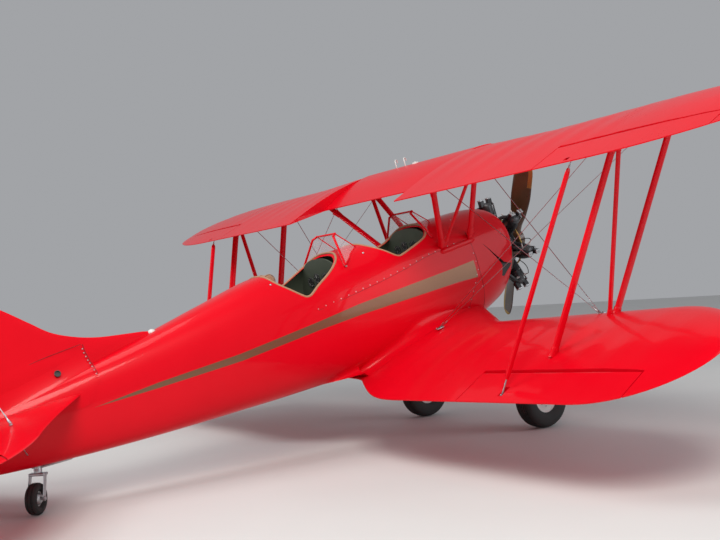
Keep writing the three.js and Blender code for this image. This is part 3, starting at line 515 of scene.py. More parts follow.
# fuselage: s, half width, top, bottom, height of the widest place
body = {
    "rows": [(1.25, .455, .610, -.505, .020), (1.70, .450, .628, -.525, .020),
        (2.30, .440, .632, -.525, .020), (2.90, .425, .640, -.505, .020), (3.42, .390, .640, -.462, .030),
        (4.00, .335, .574, -.402, .040), (4.50, .275, .503, -.346, .050), (5.10, .200, .430, -.268, .070),
        (5.70, .125, .370, -.172, .090), (6.15, .062, .325, -.085, .110)],
    "fullness": 2.7, "stations": 64, "wall": 0.024, "floor": -0.33,
    "cavity": (1.32, 3.42),
    "frontSill": [(1.590, .70), (1.597, .640), (1.615, .590), (1.66, .540), (1.75, .491), (1.95, .446),
        (2.07, .423), (2.14, .428), (2.235, .510), (2.335, .590), (2.372, .640), (2.380, .70)],
    "rearSill": [(2.640, .70), (2.655, .640), (2.70, .600), (2.77, .552), (2.90, .487), (3.05, .424),
        (3.16, .368), (3.215, .368), (3.32, .462), (3.41, .560), (3.438, .640), (3.445, .70)],
}


# a ring with its own fullness above and below the widest place
def fullRing(s, row, inset, points=96):
    half, top, bottom, mid, above, below = row
    ring = []
    for i in range(points):
        a = (i + 0.5) / points * 2 * pi
        c, n = cos(a), sin(a)
        power = 2 / (above if n > 0 else below)
        height = (top - mid if n > 0 else mid - bottom) - inset
        ring.append(Vector((-s, (half - inset) * copysign(abs(c) ** power, c), mid
                + height * copysign(abs(n) ** power, n))))
    return ring


def bodyRing(s, inset=0.0):
    return fullRing(s, smoothRow(body["rows"], s) + [body["fullness"]] * 2, inset)


def bodySide(s, z):
    half, top, bottom, mid = smoothRow(body["rows"], s)
    height = top - mid if z > mid else mid - bottom
    share = min(abs(z - mid) / height, 0.999)
    return half * (1 - share ** body["fullness"]) ** (1 / body["fullness"])


def bodyTop(s, y):
    half, top, bottom, mid = smoothRow(body["rows"], s)
    share = min(abs(y) / half, 0.999)
    return mid + (top - mid) * (1 - share ** body["fullness"]) ** (1 / body["fullness"])


def sillCurve(points, steps=6):
    smooth = []
    for i in range(len(points) - 1):
        before, low, high = points[max(i - 1, 0)], points[i], points[i + 1]
        after = points[min(i + 2, len(points) - 1)]
        for k in range(steps):
            t = k / steps
            smooth.append(tuple(0.5 * (2 * b + (c - a) * t + (2 * a - 5 * b + 4 * c - d) * t * t
                    + (3 * b - a - 3 * c + d) * t ** 3) for a, b, c, d in zip(before, low, high, after)))
    return smooth + [points[-1]]


def makeBody():
    first, last = body["rows"][0][0], body["rows"][-1][0]
    skin = rolledSkin("fuselage_skin", [bodyRing(s) for s in spread(first, last, body["stations"])])
    dress(skin, "redStriped", "interior")
    cavity = rolledSkin("cavity", [bodyRing(s, body["wall"]) for s in spread(*body["cavity"], 24)])
    cutWith(cavity, boxCutter((-4.2, -0.8, -0.9), (-1.0, 0.8, body["floor"])))
    dress(cavity, "redStriped", "interior")
    for polygon in cavity.data.polygons:
        polygon.material_index = 1
    cutWith(skin, cavity)
    for sill in (body["frontSill"], body["rearSill"]):
        outline = sillCurve(sill)
        outline = outline + [(outline[-1][0], 0.95), (outline[0][0], 0.95)]
        cutWith(skin, sideCutter(outline, -0.7, 0.7))
    return onBody(park(cleanUp(skin, 38)), "airframe", "red_paint", "fuselage")


makeBody()
print("stage: fuselage made")


# nose cowl: s, half width, top, bottom, height of the widest place, fullness above and below it
cowl = {
    "rows": [(0.715, .408, .500, -.345, .200, 2.1, 1.75), (0.722, .432, .526, -.372, .199, 2.15, 1.75),
        (0.737, .446, .548, -.392, .198, 2.2, 1.75), (0.795, .460, .575, -.430, .190, 2.3, 1.8),
        (0.96, .460, .597, -.462, .120, 2.5, 2.1), (1.2497, .455, .610, -.505, .020, 2.7, 2.7)],
    "recess": (0.29, 0.07), "engineHeight": 0.09,
    "vent": [(1.128, .258), (0.99, .085), (0.90, -.005), (0.80, -.045), (0.70, -.060), (0.70, -.205),
        (0.85, -.178), (0.945, -.138), (0.93, -.03)], "ventInside": 0.395,
}


def makeCowl():
    first, last = cowl["rows"][0][0], cowl["rows"][-1][0]
    shares = [0, .006, .014, .025, .04, .06, .09, .13] + [0.18 + 0.82 * i / 20 for i in range(21)]
    places = [first + (last - first) * share for share in shares]
    skin = rolledSkin("nose_cowl_skin", [fullRing(s, smoothRow(cowl["rows"], s), 0) for s in places])
    dress(skin, "red", "blackFittingsAndShade")
    radius, deep = cowl["recess"]
    recess = turned("recess", [(-0.02, 0), (-0.02, radius), (deep, radius), (deep, 0)], 64,
            (-first, 0, cowl["engineHeight"]), (-1, 0, 0))
    vents = []
    for side in (1, -1):
        ends = sorted((side * cowl["ventInside"], side * 0.7))
        vents.append(sideCutter(cowl["vent"], *ends))
    # the cut faces of the front recess and the side vents take the second finish, black: painted shade
    # standing for the dark inside of these openings
    for cutter in [recess] + vents:
        dress(cutter, "red", "blackFittingsAndShade")
        for polygon in cutter.data.polygons:
            polygon.material_index = 1
        cutWith(skin, cutter)
    return onBody(park(cleanUp(skin, 38)), "airframe", "red_paint", "nose_cowl")


makeCowl()
print("stage: cowl made")


# wings: airfoil rows are (square root of the share of the chord, top, bottom)
wings = {
    "chord": 1.45, "hinge": 0.78, "hingeUp": 0.036,
    "upper": {"te": 2.407, "z": .946, "dihedral": .005, "incidence": .055, "tipStart": 2.99, "tip": 4.417},
    "lower": {"te": 3.254, "z": -.582, "dihedral": .033, "incidence": .075, "tipStart": 3.11, "tip": 3.84},
    "airfoil": [(0, .035, .035), (.141, .062, .016), (.265, .087, .006), (.412, .110, .001), (.566, .117, 0),
        (.707, .105, 0), (.837, .073, 0), (.927, .038, 0), (1, .006, 0)],
    "thickness": 0.9, "rootThickness": 1.1, "thickUntil": 1.8, "tipRear": 0.46, "tipRise": 0.06,
    "lowerRoot": [(.0005, 1.017, 2.820), (.300, 1.216, 2.872), (.440, 1.309, 2.950), (.590, 1.409, 3.036),
        (.780, 1.535, 3.138), (.960, 1.655, 3.210), (1.120, 1.761, 3.245), (1.26, 1.804, 3.254)],
    "centreHalf": 0.9, "centreChord": 0.985, "ribSag": 0.04, "points": 26,
    "upperBay": (2.55, 3.92), "lowerBay": (2.04, 3.50), "gap": 0.008, "noseRadius": 0.040,
    "arm": (.222, -.041), "upperStrutY": 2.86, "lowerStrutY": 2.45, "slot": (.032, .072, .015, .027),
}


def wingPoint(wing, share, y, up=0.0):
    ahead = (1 - share) * wings["chord"]
    return Vector((-(wing["te"] - ahead), y, wing["z"] + wing["dihedral"] * abs(y)
            + ahead * wing["incidence"] + up))


def airfoilRing(wing, front, rear, y, z, thickness, sag=0.0):
    chord = rear - front
    upper, lower = [], []
    for i in range(wings["points"] + 1):
        share = i / wings["points"]
        top, bottom = smoothRow(wings["airfoil"], share)
        f = share ** 2
        top *= 1 - sag * max(0.0, sin(pi * min(max((f - .1) / .85, 0), 1)))
        rise = z + (1 - f) * chord * wing["incidence"]
        upper.append(Vector((-(front + f * chord), y, rise + top * chord * thickness)))
        lower.append(Vector((-(front + f * chord), y, rise + bottom * chord * thickness)))
    return upper + lower[:0:-1]


def wingRings(wing, side):
    chord, pitch = wings["chord"], paint["ribPitch"]
    isUpper = wing is wings["upper"]
    start = wings["centreHalf"] + 0.0003 if isUpper else wings["lowerRoot"][0][0]
    places = spread(start, wing["tipStart"], 56)
    tipShares = [.08, .17, .26, .35, .44, .53, .61, .69, .76, .82, .87, .91, .945, .97, .985, .994, .998]
    places += [wing["tipStart"] + (wing["tip"] - wing["tipStart"]) * share for share in tipShares]
    rings = []
    for y in places:
        u = max(0.0, (y - wing["tipStart"]) / (wing["tip"] - wing["tipStart"]))
        left = (1 - u ** 2.1) ** 0.53
        rear = wing["te"] - (1 - left) * wings["tipRear"] * chord
        front = wing["te"] - chord + (1 - left) * (1 - wings["tipRear"]) * chord
        z = wing["z"] + wing["dihedral"] * y + (1 - left) * wings["tipRise"] * chord
        thickness = wings["thickness"]
        if isUpper and y < wings["thickUntil"]:
            share = (wings["thickUntil"] - y) / (wings["thickUntil"] - start)
            thickness += (wings["rootThickness"] - thickness) * share
        if not isUpper and y < wings["lowerRoot"][-1][0]:
            front, rear = smoothRow(wings["lowerRoot"], y)
            z += (wing["te"] - rear) * wing["incidence"]
            thickness *= chord / (rear - front)
        sag = wings["ribSag"] * sin(pi * (y / pitch - 0.5)) ** 2 * min(1, left * 1.2)
        rings.append(airfoilRing(wing, front, rear, side * y, z, thickness, sag))
    return rings


def hingeLine(wing, y):
    return wingPoint(wing, wings["hinge"], y, wings["hingeUp"])


def baySlab(wing, y0, y1, ahead, side):
    rings = []
    for y in (y0, y1):
        hinge = hingeLine(wing, side * y)
        rings.append([hinge + Vector((f, 0, up)) for f, up in ((ahead, -.2), (ahead, .2), (-.4, .2),
                (-.4, -.2))])
    return rolledSkin("slab", rings)


def aileronPin(which, side):
    aft, up = wings["arm"]
    return hingeLine(wings[which], side * wings[which + "StrutY"]) + Vector((-aft, 0, up))


# the slot that the connecting strut passes through, longer on the side that the strut leans to
def strutSlot(which, side):
    pin = aileronPin(which, side)
    lean = 1 if which == "lower" else -1
    near, far, inner, outer = wings["slot"]
    span = sorted((pin.x - lean * near, pin.x + lean * far))
    wide = sorted((pin.y - lean * side * inner, pin.y + lean * side * outer))
    top = .09 if which == "lower" else .013
    return boxCutter((span[0], wide[0], pin.z - .09), (span[1], wide[1], pin.z + top))


def makeWing(which, hand, side):
    wing, bay = wings[which], wings[which + "Bay"]
    skin = rolledSkin(f"{which}_wing_skin_{hand}", wingRings(wing, side), True, 40)
    dress(skin, "redFabric")
    aileron = copyOf(skin, f"{which}_aileron_skin_{hand}")
    cutWith(skin, baySlab(wing, bay[0], bay[1], wings["noseRadius"] + wings["gap"], side))
    if which == "lower":
        inner = [bodyRing(1.0 + 2.4 * i / 20, -0.0004) for i in range(21)]
        cutWith(skin, rolledSkin("body", inner))
    slab = baySlab(wing, bay[0] + wings["gap"], bay[1] - wings["gap"], 0.0, side)
    nose = ovalBar("nose", hingeLine(wing, side * (bay[0] + wings["gap"])),
            hingeLine(wing, side * (bay[1] - wings["gap"])), wings["noseRadius"] * 2, wings["noseRadius"] * 2,
            ((0, 1), (1, 1)), 32)
    cutWith(slab, nose, "UNION")
    cutWith(aileron, slab, "INTERSECT")
    cutWith(aileron, strutSlot(which, side))
    for piece, node, rider in ((skin, f"{which}_wing_{hand}", "airframe"),
            (aileron, f"{which}_aileron_{hand}", f"{which}_aileron_{hand}")):
        onBody(park(cleanUp(piece, 40)), rider, "red_paint", node)


def makeCentreSection():
    wing = wings["upper"]
    front = wing["te"] - wings["chord"]
    z = wing["z"] + (wings["chord"]
            - wings["centreChord"]) * wing["incidence"] + wing["dihedral"] * wings["centreHalf"]
    thickness = wings["rootThickness"] * wings["chord"] / wings["centreChord"]
    rings = [airfoilRing(wing, front, front + wings["centreChord"], wings["centreHalf"] * (i / 12 - 1), z,
            thickness) for i in range(25)]
    skin = rolledSkin("centre_section_skin", rings, True, 40)
    dress(skin, "red")
    onBody(park(skin), "airframe", "red_paint", "wing_centre_section")


for hand, side in sides:
    for which in ("upper", "lower"):
        makeWing(which, hand, side)
makeCentreSection()
print("stage: wings made")


# tail surfaces: place along the surface, front s, rear s, half thickness
tail = {
    "fin": [(.255, 4.420, 6.600, .052), (.470, 4.460, 6.600, .050), (.520, 4.560, 6.590, .048),
        (.560, 4.745, 6.585, .044), (.605, 4.950, 6.580, .038), (.665, 5.120, 6.575, .034),
        (.763, 5.298, 6.560, .030), (.880, 5.423, 6.550, .028), (1.048, 5.600, 6.530, .025),
        (1.200, 5.790, 6.500, .022), (1.315, 6.020, 6.460, .016), (1.352, 6.180, 6.420, .008)],
    "rudder": [(-.095, 6.090, 6.560, .012), (-.040, 6.000, 6.760, .020), (.120, 5.900, 6.930, .026),
        (.380, 5.850, 7.025, .028), (.640, 5.850, 7.045, .028), (.860, 5.860, 6.990, .027),
        (1.050, 5.900, 6.890, .024), (1.220, 5.980, 6.730, .020), (1.330, 6.090, 6.560, .014),
        (1.368, 6.200, 6.450, .008)],
    "plane": [(.060, 5.200, 6.760, .038), (.250, 5.333, 6.850, .036), (.570, 5.556, 6.880, .033),
        (.950, 5.785, 6.860, .028), (1.250, 5.945, 6.800, .022), (1.450, 6.115, 6.690, .015),
        (1.540, 6.250, 6.560, .007)],
    "rudderHinge": 6.325, "elevatorHinge": (6.205, .250), "nose": 0.024, "gap": 0.008,
    "rudderLugs": (.52, 1.08), "elevatorLugs": (.42, 1.20), "tubeRadius": 0.013,
}


def lensRings(rows, place, count, points=44):
    rings = []
    for along in spread(rows[0][0], rows[-1][0], count):
        front, rear, half = smoothRow(rows, along)
        ring = []
        for a in turns(points):
            ring.append(place(along, (front + rear) / 2 - (rear - front) / 2 * cos(a), half * sin(a)))
        rings.append(ring)
    return rings


# a lug with its bolt, for a hinge line that runs along y or along z
def hingeLug(centre, upright, reach, name):
    x, y, z = centre
    plate = boxCutter((x - .004, y - .007, z - .006), (x + reach, y + .007, z + .006)) if upright else \
        boxCutter((x - .004, y - .006, z - .007), (x + reach, y + .006, z + .007))
    applyModifier(plate, "BEVEL", width=0.002, segments=2)
    half = Vector((0, 0, .0135)) if upright else Vector((0, .0135, 0))
    bolt = ovalBar("bolt", Vector(centre) - half, Vector(centre) + half, .012, .012,
            ((0, 1), (.18, 1), (.18, .8), (.82, .8), (.82, 1), (1, 1)), 12)
    lug = joinAll([plate, bolt], name)
    return dress(lug, "steel")


def makeFinAndRudder():
    upright = lambda z, s, y: Vector((-s, y, z))
    edge = tail["rudderHinge"] - tail["nose"] - tail["gap"]
    fin = rolledSkin("fin_skin", lensRings(tail["fin"], upright, 60))
    cutWith(fin, boxCutter((-edge, -.2, .1), (-4.3, .2, 1.5)), "INTERSECT")
    cutWith(fin, boxCutter((-6.4, -.2, 0), (-6.1, .2, .317)))
    rudder = rolledSkin("rudder_skin", lensRings(tail["rudder"], upright, 60))
    keep = boxCutter((-7.2, -.2, -.2), (-tail["rudderHinge"], .2, 1.5))
    cutWith(keep, roundRod("nose", (-tail["rudderHinge"], 0, -.095), (-tail["rudderHinge"], 0, 1.368),
            tail["nose"], 32), "UNION")
    cutWith(rudder, keep, "INTERSECT")
    lugs = []
    for z in tail["rudderLugs"]:
        hinge = -tail["rudderHinge"]
        cutWith(rudder, boxCutter((hinge - .016, -.06, z - .014), (hinge + .06, .06, z + .014)))
        lugs.append(hingeLug((hinge, 0, z), True, .045, "lug"))
    dress(fin, "red")
    dress(rudder, "red")
    hinges = joinAll(lugs, "rudder_hinges")
    onBody(park(cleanUp(fin, 40)), "airframe", "red_paint", "fin")
    onBody(park(cleanUp(rudder, 40)), "rudder", "red_paint", "rudder")
    onBody(park(cleanUp(hinges, 40)), "airframe", "steel")


def makeTailplane(hand, side):
    s, z = tail["elevatorHinge"]
    flat = lambda y, at, up: Vector((-at, side * y, z + up))
    edge = s - tail["nose"] - tail["gap"]
    slab = rolledSkin(f"stabilizer_skin_{hand}", lensRings(tail["plane"], flat, 60))
    elevator = copyOf(slab, f"elevator_skin_{hand}")
    cutWith(slab, boxCutter((-edge, -1.7, 0), (-5.1, 1.7, .5)), "INTERSECT")
    keep = boxCutter((-7.1, -1.7, 0), (-s, 1.7, .5))
    cutWith(keep, roundRod("nose", (-s, side * .09, z), (-s, side * 1.525, z), tail["nose"], 32), "UNION")
    cutWith(elevator, keep, "INTERSECT")
    outline = [(6.10, 0), (7.0, 0), (7.0, .480), (6.24, .082), (6.10, .082)]
    wedge = rolledSkin("wedge", [[Vector((-a, side * b, up)) for a, b in outline] for up in (0, .5)])
    cutWith(elevator, wedge)
    if side > 0:
        cutWith(elevator, roundRod("tube", (-s, .1, z), (-s, -.08, z), tail["tubeRadius"], 24), "UNION")
    lugs = []
    for y in tail["elevatorLugs"]:
        low, high = sorted((side * y - .014, side * y + .014))
        cutWith(elevator, boxCutter((-s - .016, low, z - .06), (-s + .06, high, z + .06)))
        lugs.append(hingeLug((-s, side * y, z), False, .045, "lug"))
    dress(slab, "redFabric")
    dress(elevator, "redFabric")
    hinges = joinAll(lugs, f"elevator_hinges_{hand}")
    onBody(park(cleanUp(slab, 40)), "airframe", "red_paint", f"stabilizer_{hand}")
    onBody(park(cleanUp(elevator, 40)), "elevators", "red_paint", f"elevator_{hand}")
    onBody(park(cleanUp(hinges, 40)), "airframe", "steel")


makeFinAndRudder()
for hand, side in sides:
    makeTailplane(hand, side)
print("stage: tail made")


# struts: bay rows are (lower share, upper share, along, across), cabane rows (foot, top, along, across)
struts = {
    "upperY": 2.96, "lowerY": 2.57, "bay": [(.14, .14, .078, .030), (.66, .66, .074, .028),
        (.17, .63, .050, .022)],
    "cabane": [((1.236, .418, .345), (1.309, .850, 1.045), .070, .028),
        ((1.606, .412, .345), (1.896, .856, 1.000), .066, .028),
        ((1.590, .424, .360), (1.330, .846, 1.045), .046, .022)],
}


# a faired strut with a cuff near each end
def fairedStrut(start, end, along, across, lowCuff, highCuff):
    start, end = Vector(start), Vector(end)
    length = (end - start).length
    bar = ovalBar("strut", start, end, along, across, ((0, 1), (.5, 1), (1, 1)), 28, 0.35)
    pieces = [bar]
    for place, way in ((lowCuff / length, 1), (1 - highCuff / length, -1)):
        a = start.lerp(end, place)
        b = start.lerp(end, place + way * .075 / length)
        pieces.append(ovalBar("cuff", a, b, along * 1.12, across * 1.35,
                ((0, 1.28), (.25, 1.1), (.7, 1.0), (.95, .97), (1, .9)), 28, 0.35))
        low, high = start.lerp(end, place + way * .03 / length), start.lerp(end, place + way * .055 / length)
        for spot in (low, high):
            head = ovalBar("bolt", spot - Vector((0, across * .72, 0)), spot + Vector((0, across * .72, 0)),
                    .010, .010, ((0, .8), (.06, 1), (.94, 1), (1, .8)), 8)
            pieces.append(head)
    return joinAll(pieces, "strut")


def makeBayStruts(hand, side):
    bars = []
    for low, high, along, across in struts["bay"]:
        start = wingPoint(wings["lower"], low, side * struts["lowerY"], .030)
        end = wingPoint(wings["upper"], high, side * struts["upperY"], .040)
        bars.append(fairedStrut(start, end, along, across, .085, .045))
    onBody(park(cleanUp(dress(joinAll(bars, f"interplane_struts_{hand}"), "red"), 45)), "airframe",
            "red_paint", f"interplane_strut_{hand}")


def ringEye(centre, inner, outer, half, steps=24):
    rows = [(-half, inner), (-half, outer), (half, outer), (half, inner), (-half, inner)]
    return turned("eye", rows, steps, centre, (0, 1, 0), 35, False)


def makeAileronStrut(hand, side):
    low, high = aileronPin("lower", side), aileronPin("upper", side)
    axis = (high - low).normalized()
    fairing = ovalBar("fairing", low + axis * .115, high - axis * .07, .050, .022,
            ((0, .4), (.006, .7), (.02, .95), (.04, 1), (.96, 1), (.98, .95), (.994, .7), (1, .4)), 24, 0.3)
    parts = [dress(fairing, "red")]
    for pin, way in ((low, 1), (high, -1)):
        rod = ovalBar("rod", pin + axis * .009 * way, pin + axis * (.135 if way > 0 else .09) * way, .014,
                .012, ((0, .8), (.08, 1), (.55, 1), (.55, 1.3), (.62, 1.3), (.62, 1), (1, 1)), 12)
        parts += [dress(rod, "steel"), dress(ringEye(pin, .0059, .0108, .0068), "steel")]
    piece = joinAll(parts, f"aileron_strut_faired_{hand}")
    onBody(park(cleanUp(piece, 45)), f"aileron_strut_{hand}", "red_paint", f"aileron_strut_{hand}")


def makeCabane(hand, side):
    bars = []
    for start, end, along, across in struts["cabane"]:
        a = Vector((-start[0], side * start[1], start[2]))
        b = Vector((-end[0], side * end[1], end[2]))
        bars.append(fairedStrut(a, b, along, across, .055, .075))
    base = ovalBar("base", (-1.180, side * .420, .318), (-1.665, side * .420, .314), .060, .044,
            ((0, .05), (.01, .35), (.04, .7), (.10, .93), (.18, 1), (.84, 1), (.92, .9), (.97, .65),
            (.99, .35), (1, .05)), 28)
    bars.append(base)
    onBody(park(cleanUp(dress(joinAll(bars, f"cabane_struts_{hand}"), "red"), 45)), "airframe", "red_paint",
            f"cabane_{hand}")


def makePins(hand, side):
    inner, outer = wings["slot"][2:]
    for which, lean in (("lower", 1), ("upper", -1)):
        pin = aileronPin(which, side)
        ends = [pin + Vector((0, -lean * side * inner, 0)), pin + Vector((0, lean * side * outer, 0))]
        rod = dress(roundRod(f"{which}_strut_pin_{hand}", *ends, .005, 16), "steel")
        onBody(park(rod), f"{which}_aileron_{hand}", "steel")


for hand, side in sides:
    makeBayStruts(hand, side)
    makeAileronStrut(hand, side)
    makeCabane(hand, side)
    makePins(hand, side)
print("stage: struts made")


# streamlined wires, each with a fork and a threaded end
wires = {"along": .0085, "across": .0045, "fork": .09, "landingFoot": (.1, 2.44, .128),
        "landingTop": (.14, .58), "landingTopY": .76, "flyingRoot": (.2, .64, .160), "tailBolt": (5.9, .54),
        "finEnd": (5.96, .025, .832), "bellyEnd": (5.76, .075, -.058)}


def wireRun(start, end, trimStart=.03, trimEnd=.03):
    start, end = Vector(start), Vector(end)
    axis = (end - start).normalized()
    a, b = start + axis * trimStart, end - axis * trimEnd
    length = (b - a).length
    ends = wires["fork"] / length
    parts = [ovalBar("rod", a, a.lerp(b, ends), .0095, .0095,
            ((0, .8), (.45, .8), (.5, 1.25), (.95, 1.25), (1, .7)), 10),
            ovalBar("rod", b.lerp(a, ends), b, .0095, .0095,
            ((0, .7), (.05, 1.25), (.5, 1.25), (.55, .8), (1, .8)), 10),
            ovalBar("wire", a.lerp(b, ends * .98), b.lerp(a, ends * .98), wires["along"], wires["across"],
            ((0, 1), (1, 1)), 12)]
    for place, way in ((start, 1), (end, -1)):
        for k in (-1, 1):
            cheek = ovalBar("cheek", place + Vector((0, k * .006, 0)), place + axis * way * .04
                    + Vector((0, k * .005, 0)), .018, .004, ((0, .7), (.1, 1), (.8, .9), (1, .6)), 10)
            parts.append(cheek)
    return parts


def clipPlate(place, along, across):
    x, y, z = place
    plate = bevelBox((x - along / 2, y - across / 2, z - .004),
            (x + along / 2, y + across / 2, z + .004), 0.0035, 2)
    bolts = [turned("bolt", [(0, .005), (.007, .005), (.009, .003)], 8, (x + k * along * .36, y, z + .003),
            (0, 0, 1)) for k in (-1, 1)]
    return [plate] + bolts


def makeWires(hand, side):
    lower, upper = wings["lower"], wings["upper"]
    share, y, up = wires["landingFoot"]
    foot = wingPoint(lower, share, side * y, up)
    low = foot - Vector((0, 0, .006))
    fore, aft = (wingPoint(upper, share, side * wires["landingTopY"], .060) for share in wires["landingTop"])
    landing = wireRun(foot, fore, .012, .075) + wireRun(low, aft, .012, .075) + clipPlate(low, .076, .044)
    share, y, up = wires["flyingRoot"]
    root = wingPoint(lower, share, side * y, up)
    flying = wireRun(root + Vector((.015, 0, 0)), wingPoint(upper, .14, side * 2.86, .050), .012, .06)
    flying += wireRun(root - Vector((.015, 0, 0)), wingPoint(upper, .6, side * 2.78, .040), .012, .055)
    flying += clipPlate(root, .090, .044)
    s, y = wires["tailBolt"]
    bolt = Vector((-s, side * y, tail["elevatorHinge"][1]))
    tailSet = []
    for way, (s, y, z) in ((1, wires["finEnd"]), (-1, wires["bellyEnd"])):
        tailSet += wireRun(bolt + Vector((0, 0, way * .05)), (-s, side * y, z), .0, .01)
    for way in (1, -1):
        tailSet += [turned("post", [(0, .015), (.004, .015), (.006, .011), (.020, .011), (.024, .006),
                (.03, .006)], 16, bolt + Vector((0, 0, way * .0345)), (0, 0, way))]
    for name, parts in (("landing_wires", landing), ("flying_wires", flying), ("tail_wires", tailSet)):
        onBody(park(cleanUp(dress(joinAll(parts, f"{name}_faired_{hand}"), "steel"), 45)), "airframe",
                "steel", f"{name}_{hand}")


for hand, side in sides:
    makeWires(hand, side)
print("stage: wires made")


# radial engine: crankcase rows are (s, radius), intake and lead go forward from the middle of a cylinder,
# collector is (s, radius, tube), stub goes from it as (forward, out), pipe is (s, y, z)
motor = {
    "cylinders": 7, "s": .52, "z": .09, "barrelFins": 13, "headFins": 9,
    "intake": [(-.165, .060, .195), (-.170, .075, .280), (-.150, .080, .370), (-.095, .060, .430),
        (-.050, .030, .445)],
    "lead": [(.105, .075, .262), (.110, .100, .330), (.090, .112, .400), (.073, .106, .432)],
    "collector": (.658, .330, .027), "stub": [(.020, -.004), (.055, .028), (.085, .075), (.105, .095)],
    "pipe": [(.658, .225, -.150), (.675, .262, -.290), (.708, .300, -.455), (.800, .303, -.500),
        (1.00, .304, -.570), (1.115, .305, -.607)],
    "crankcase": [(.2868, 0), (.2868, .050), (.300, .052), (.318, .074), (.346, .095), (.352, .112),
        (.372, .118), (.378, .140), (.430, .208), (.436, .214), (.452, .214), (.458, .208), (.575, .214),
        (.610, .222), (.660, .206), (.678, .200), (.783, .200), (.783, 0)],
}


def radialCopies(piece, count, name, offset=0.0):
    lift = Matrix.Translation((0, 0, motor["z"]))
    made = []
    for i in range(count):
        turn = Matrix.Rotation(2 * pi * i / count + offset, 4, "X")
        made.append(copyOf(piece, f"{name}_{i}", lift @ turn))
    bpy.data.objects.remove(piece)
    return made


def makeCylinder():
    s = motor["s"]
    rows = [(.186, 0), (.186, .088), (.198, .088), (.200, .068)]
    for i in range(motor["barrelFins"]):
        r = .212 + i * .0095
        rows += [(r, .066), (r + .001, .079), (r + .0034, .079), (r + .0044, .066)]
    rows += [(.337, .070), (.345, .070)]
    barrel = dress(turned("barrel", rows + [(.345, 0)], 36, (-s, 0, 0), (0, 0, 1)), "black")
    head = [(.345, 0), (.345, .070)]
    for i in range(motor["headFins"]):
        r = .350 + i * .0125
        wide = .084 - .00035 * i * i
        head += [(r, .064), (r + .0012, wide), (r + .004, wide), (r + .0052, .064)]
    head += [(.468, .060), (.482, .046), (.487, .020), (.487, 0)]
    parts = [barrel, dress(turned("head", head, 36, (-s, 0, 0), (0, 0, 1)), "darkHead")]
    for way in (-1, 1):
        x = -s - way * .058
        box = bevelBox((x - .030, -.022, .447), (x + .030, .022, .528), 0.010)
        lid = bevelBox((x - .031, -.023, .518), (x + .031, .023, .534), 0.006)
        parts += [dress(box, "black"), dress(lid, "aluminium")]
        bolt = dress(turned("bolt", [(0, .006), (.005, .006), (.006, .004)], 6, (x, 0, .5335),
                (0, 0, 1)), "steel")
        parts.append(bolt)
        tube = ovalBar("pushrod", (-s + .088, way * .030, .176), (-s + .082, way * .030, .470), .017, .017,
                ((0, 1.5), (.05, 1.5), (.06, 1), (.92, 1), (.93, 1.35), (1, 1.35)), 12)
        parts.append(dress(tube, "steel"))
        plug = turned("plug", [(0, .012), (.012, .012), (.013, .008), (.03, .008), (.031, .0065),
                (.05, .0065)], 8, (-s + way * .055, .058, .420), (way * .35, 1, .25))
        parts.append(dress(plug, "white"))
    for turn in turns(8, .5):
        parts.append(dress(turned("stud", [(0, .0055), (.007, .0055), (.008, .003)], 6,
                (-s + .079 * cos(turn), .079 * sin(turn), .197), (0, 0, 1)), "steel"))
    for name, thick, corners, color in (("intake", .019, 12, "black"), ("lead", .0042, 6, "blackFittingsAndShade")):
        path = [(-s + x, y, z) for x, y, z in motor[name]]
        parts.append(dress(tubeAlong(name, path, thick, corners), color))
    return joinAll(parts, "cylinder")


def makeEngine():
    centre = (0, 0, motor["z"])
    case = turned("crankcase", [(-s, r) for s, r in motor["crankcase"]][::-1], 56, centre, (1, 0, 0), 30)
    parts = [dress(case, "black")] + radialCopies(makeCylinder(), motor["cylinders"], "cylinder")
    stud = dress(turned("stud", [(0, .007), (.008, .007), (.010, .004)], 6, (-.445, 0, .214),
            (0, 0, 1)), "steel")
    parts += radialCopies(stud, 21, "case_stud", .15)
    nut = dress(turned("nut", [(0, .0075), (.008, .0075), (.010, .005)], 6, (-.352, 0, .103),
            (1, 0, 0)), "steel")
    parts += radialCopies(nut, 12, "nose_nut")
    harness = tubeAlong("harness", [Vector((-.415, .262 * sin(a), motor["z"] + .262 * cos(a)))
            for a in turns(14)], .010, 10, True)
    parts.append(dress(harness, "brass"))
    onBody(park(joinAll(parts, "radial_engine")), "airframe", "engine_black", "engine")


def makeExhaust():
    s, radius, thick = motor["collector"]
    circle = [Vector((-s, radius * sin(a), motor["z"] + radius * cos(a))) for a in turns(20)]
    parts = [tubeAlong("collector", circle, thick, 16, True)]
    stub = tubeAlong("stub", [(-s + x, 0, radius + out) for x, out in motor["stub"]], .019, 14)
    parts += radialCopies(stub, motor["cylinders"], "stub")
    band = turned("band", [(-.006, .0295), (-.006, .032), (.006, .032), (.006, .0295)], 24,
            (-s, 0, radius), (0, 1, 0))
    parts += radialCopies(band, motor["cylinders"], "band", pi / motor["cylinders"])
    pipe = tubeAlong("pipe", [(-s, y, z) for s, y, z in motor["pipe"]], .036, 20, False, 8)
    mouth = turned("mouth", [(.0, .036), (.022, .036), (.022, .0325), (-.06, .0325), (-.06, 0)], 28,
            (-1.109, .305, -.6052), (-.905, 0, -.336), 35, False)
    parts += [pipe, mouth]
    onBody(park(cleanUp(dress(joinAll(parts, "exhaust_system"), "darkSteel"), 45)), "airframe",
            "steel", "exhaust")


makeEngine()
makeExhaust()
print("stage: engine made")


# propeller rows: radius, chord, thickness, pitch in degrees
airscrew = {
    "s": .22, "z": .09, "turn": 28,
    "rows": [(.02, .090, .080, 55), (.15, .100, .068, 50), (.30, .165, .038, 36), (.54, .215, .026, 26),
        (.76, .210, .019, 21), (.89, .165, .012, 18), (.945, .100, .008, 17), (.96, .050, .006, 17)],
}


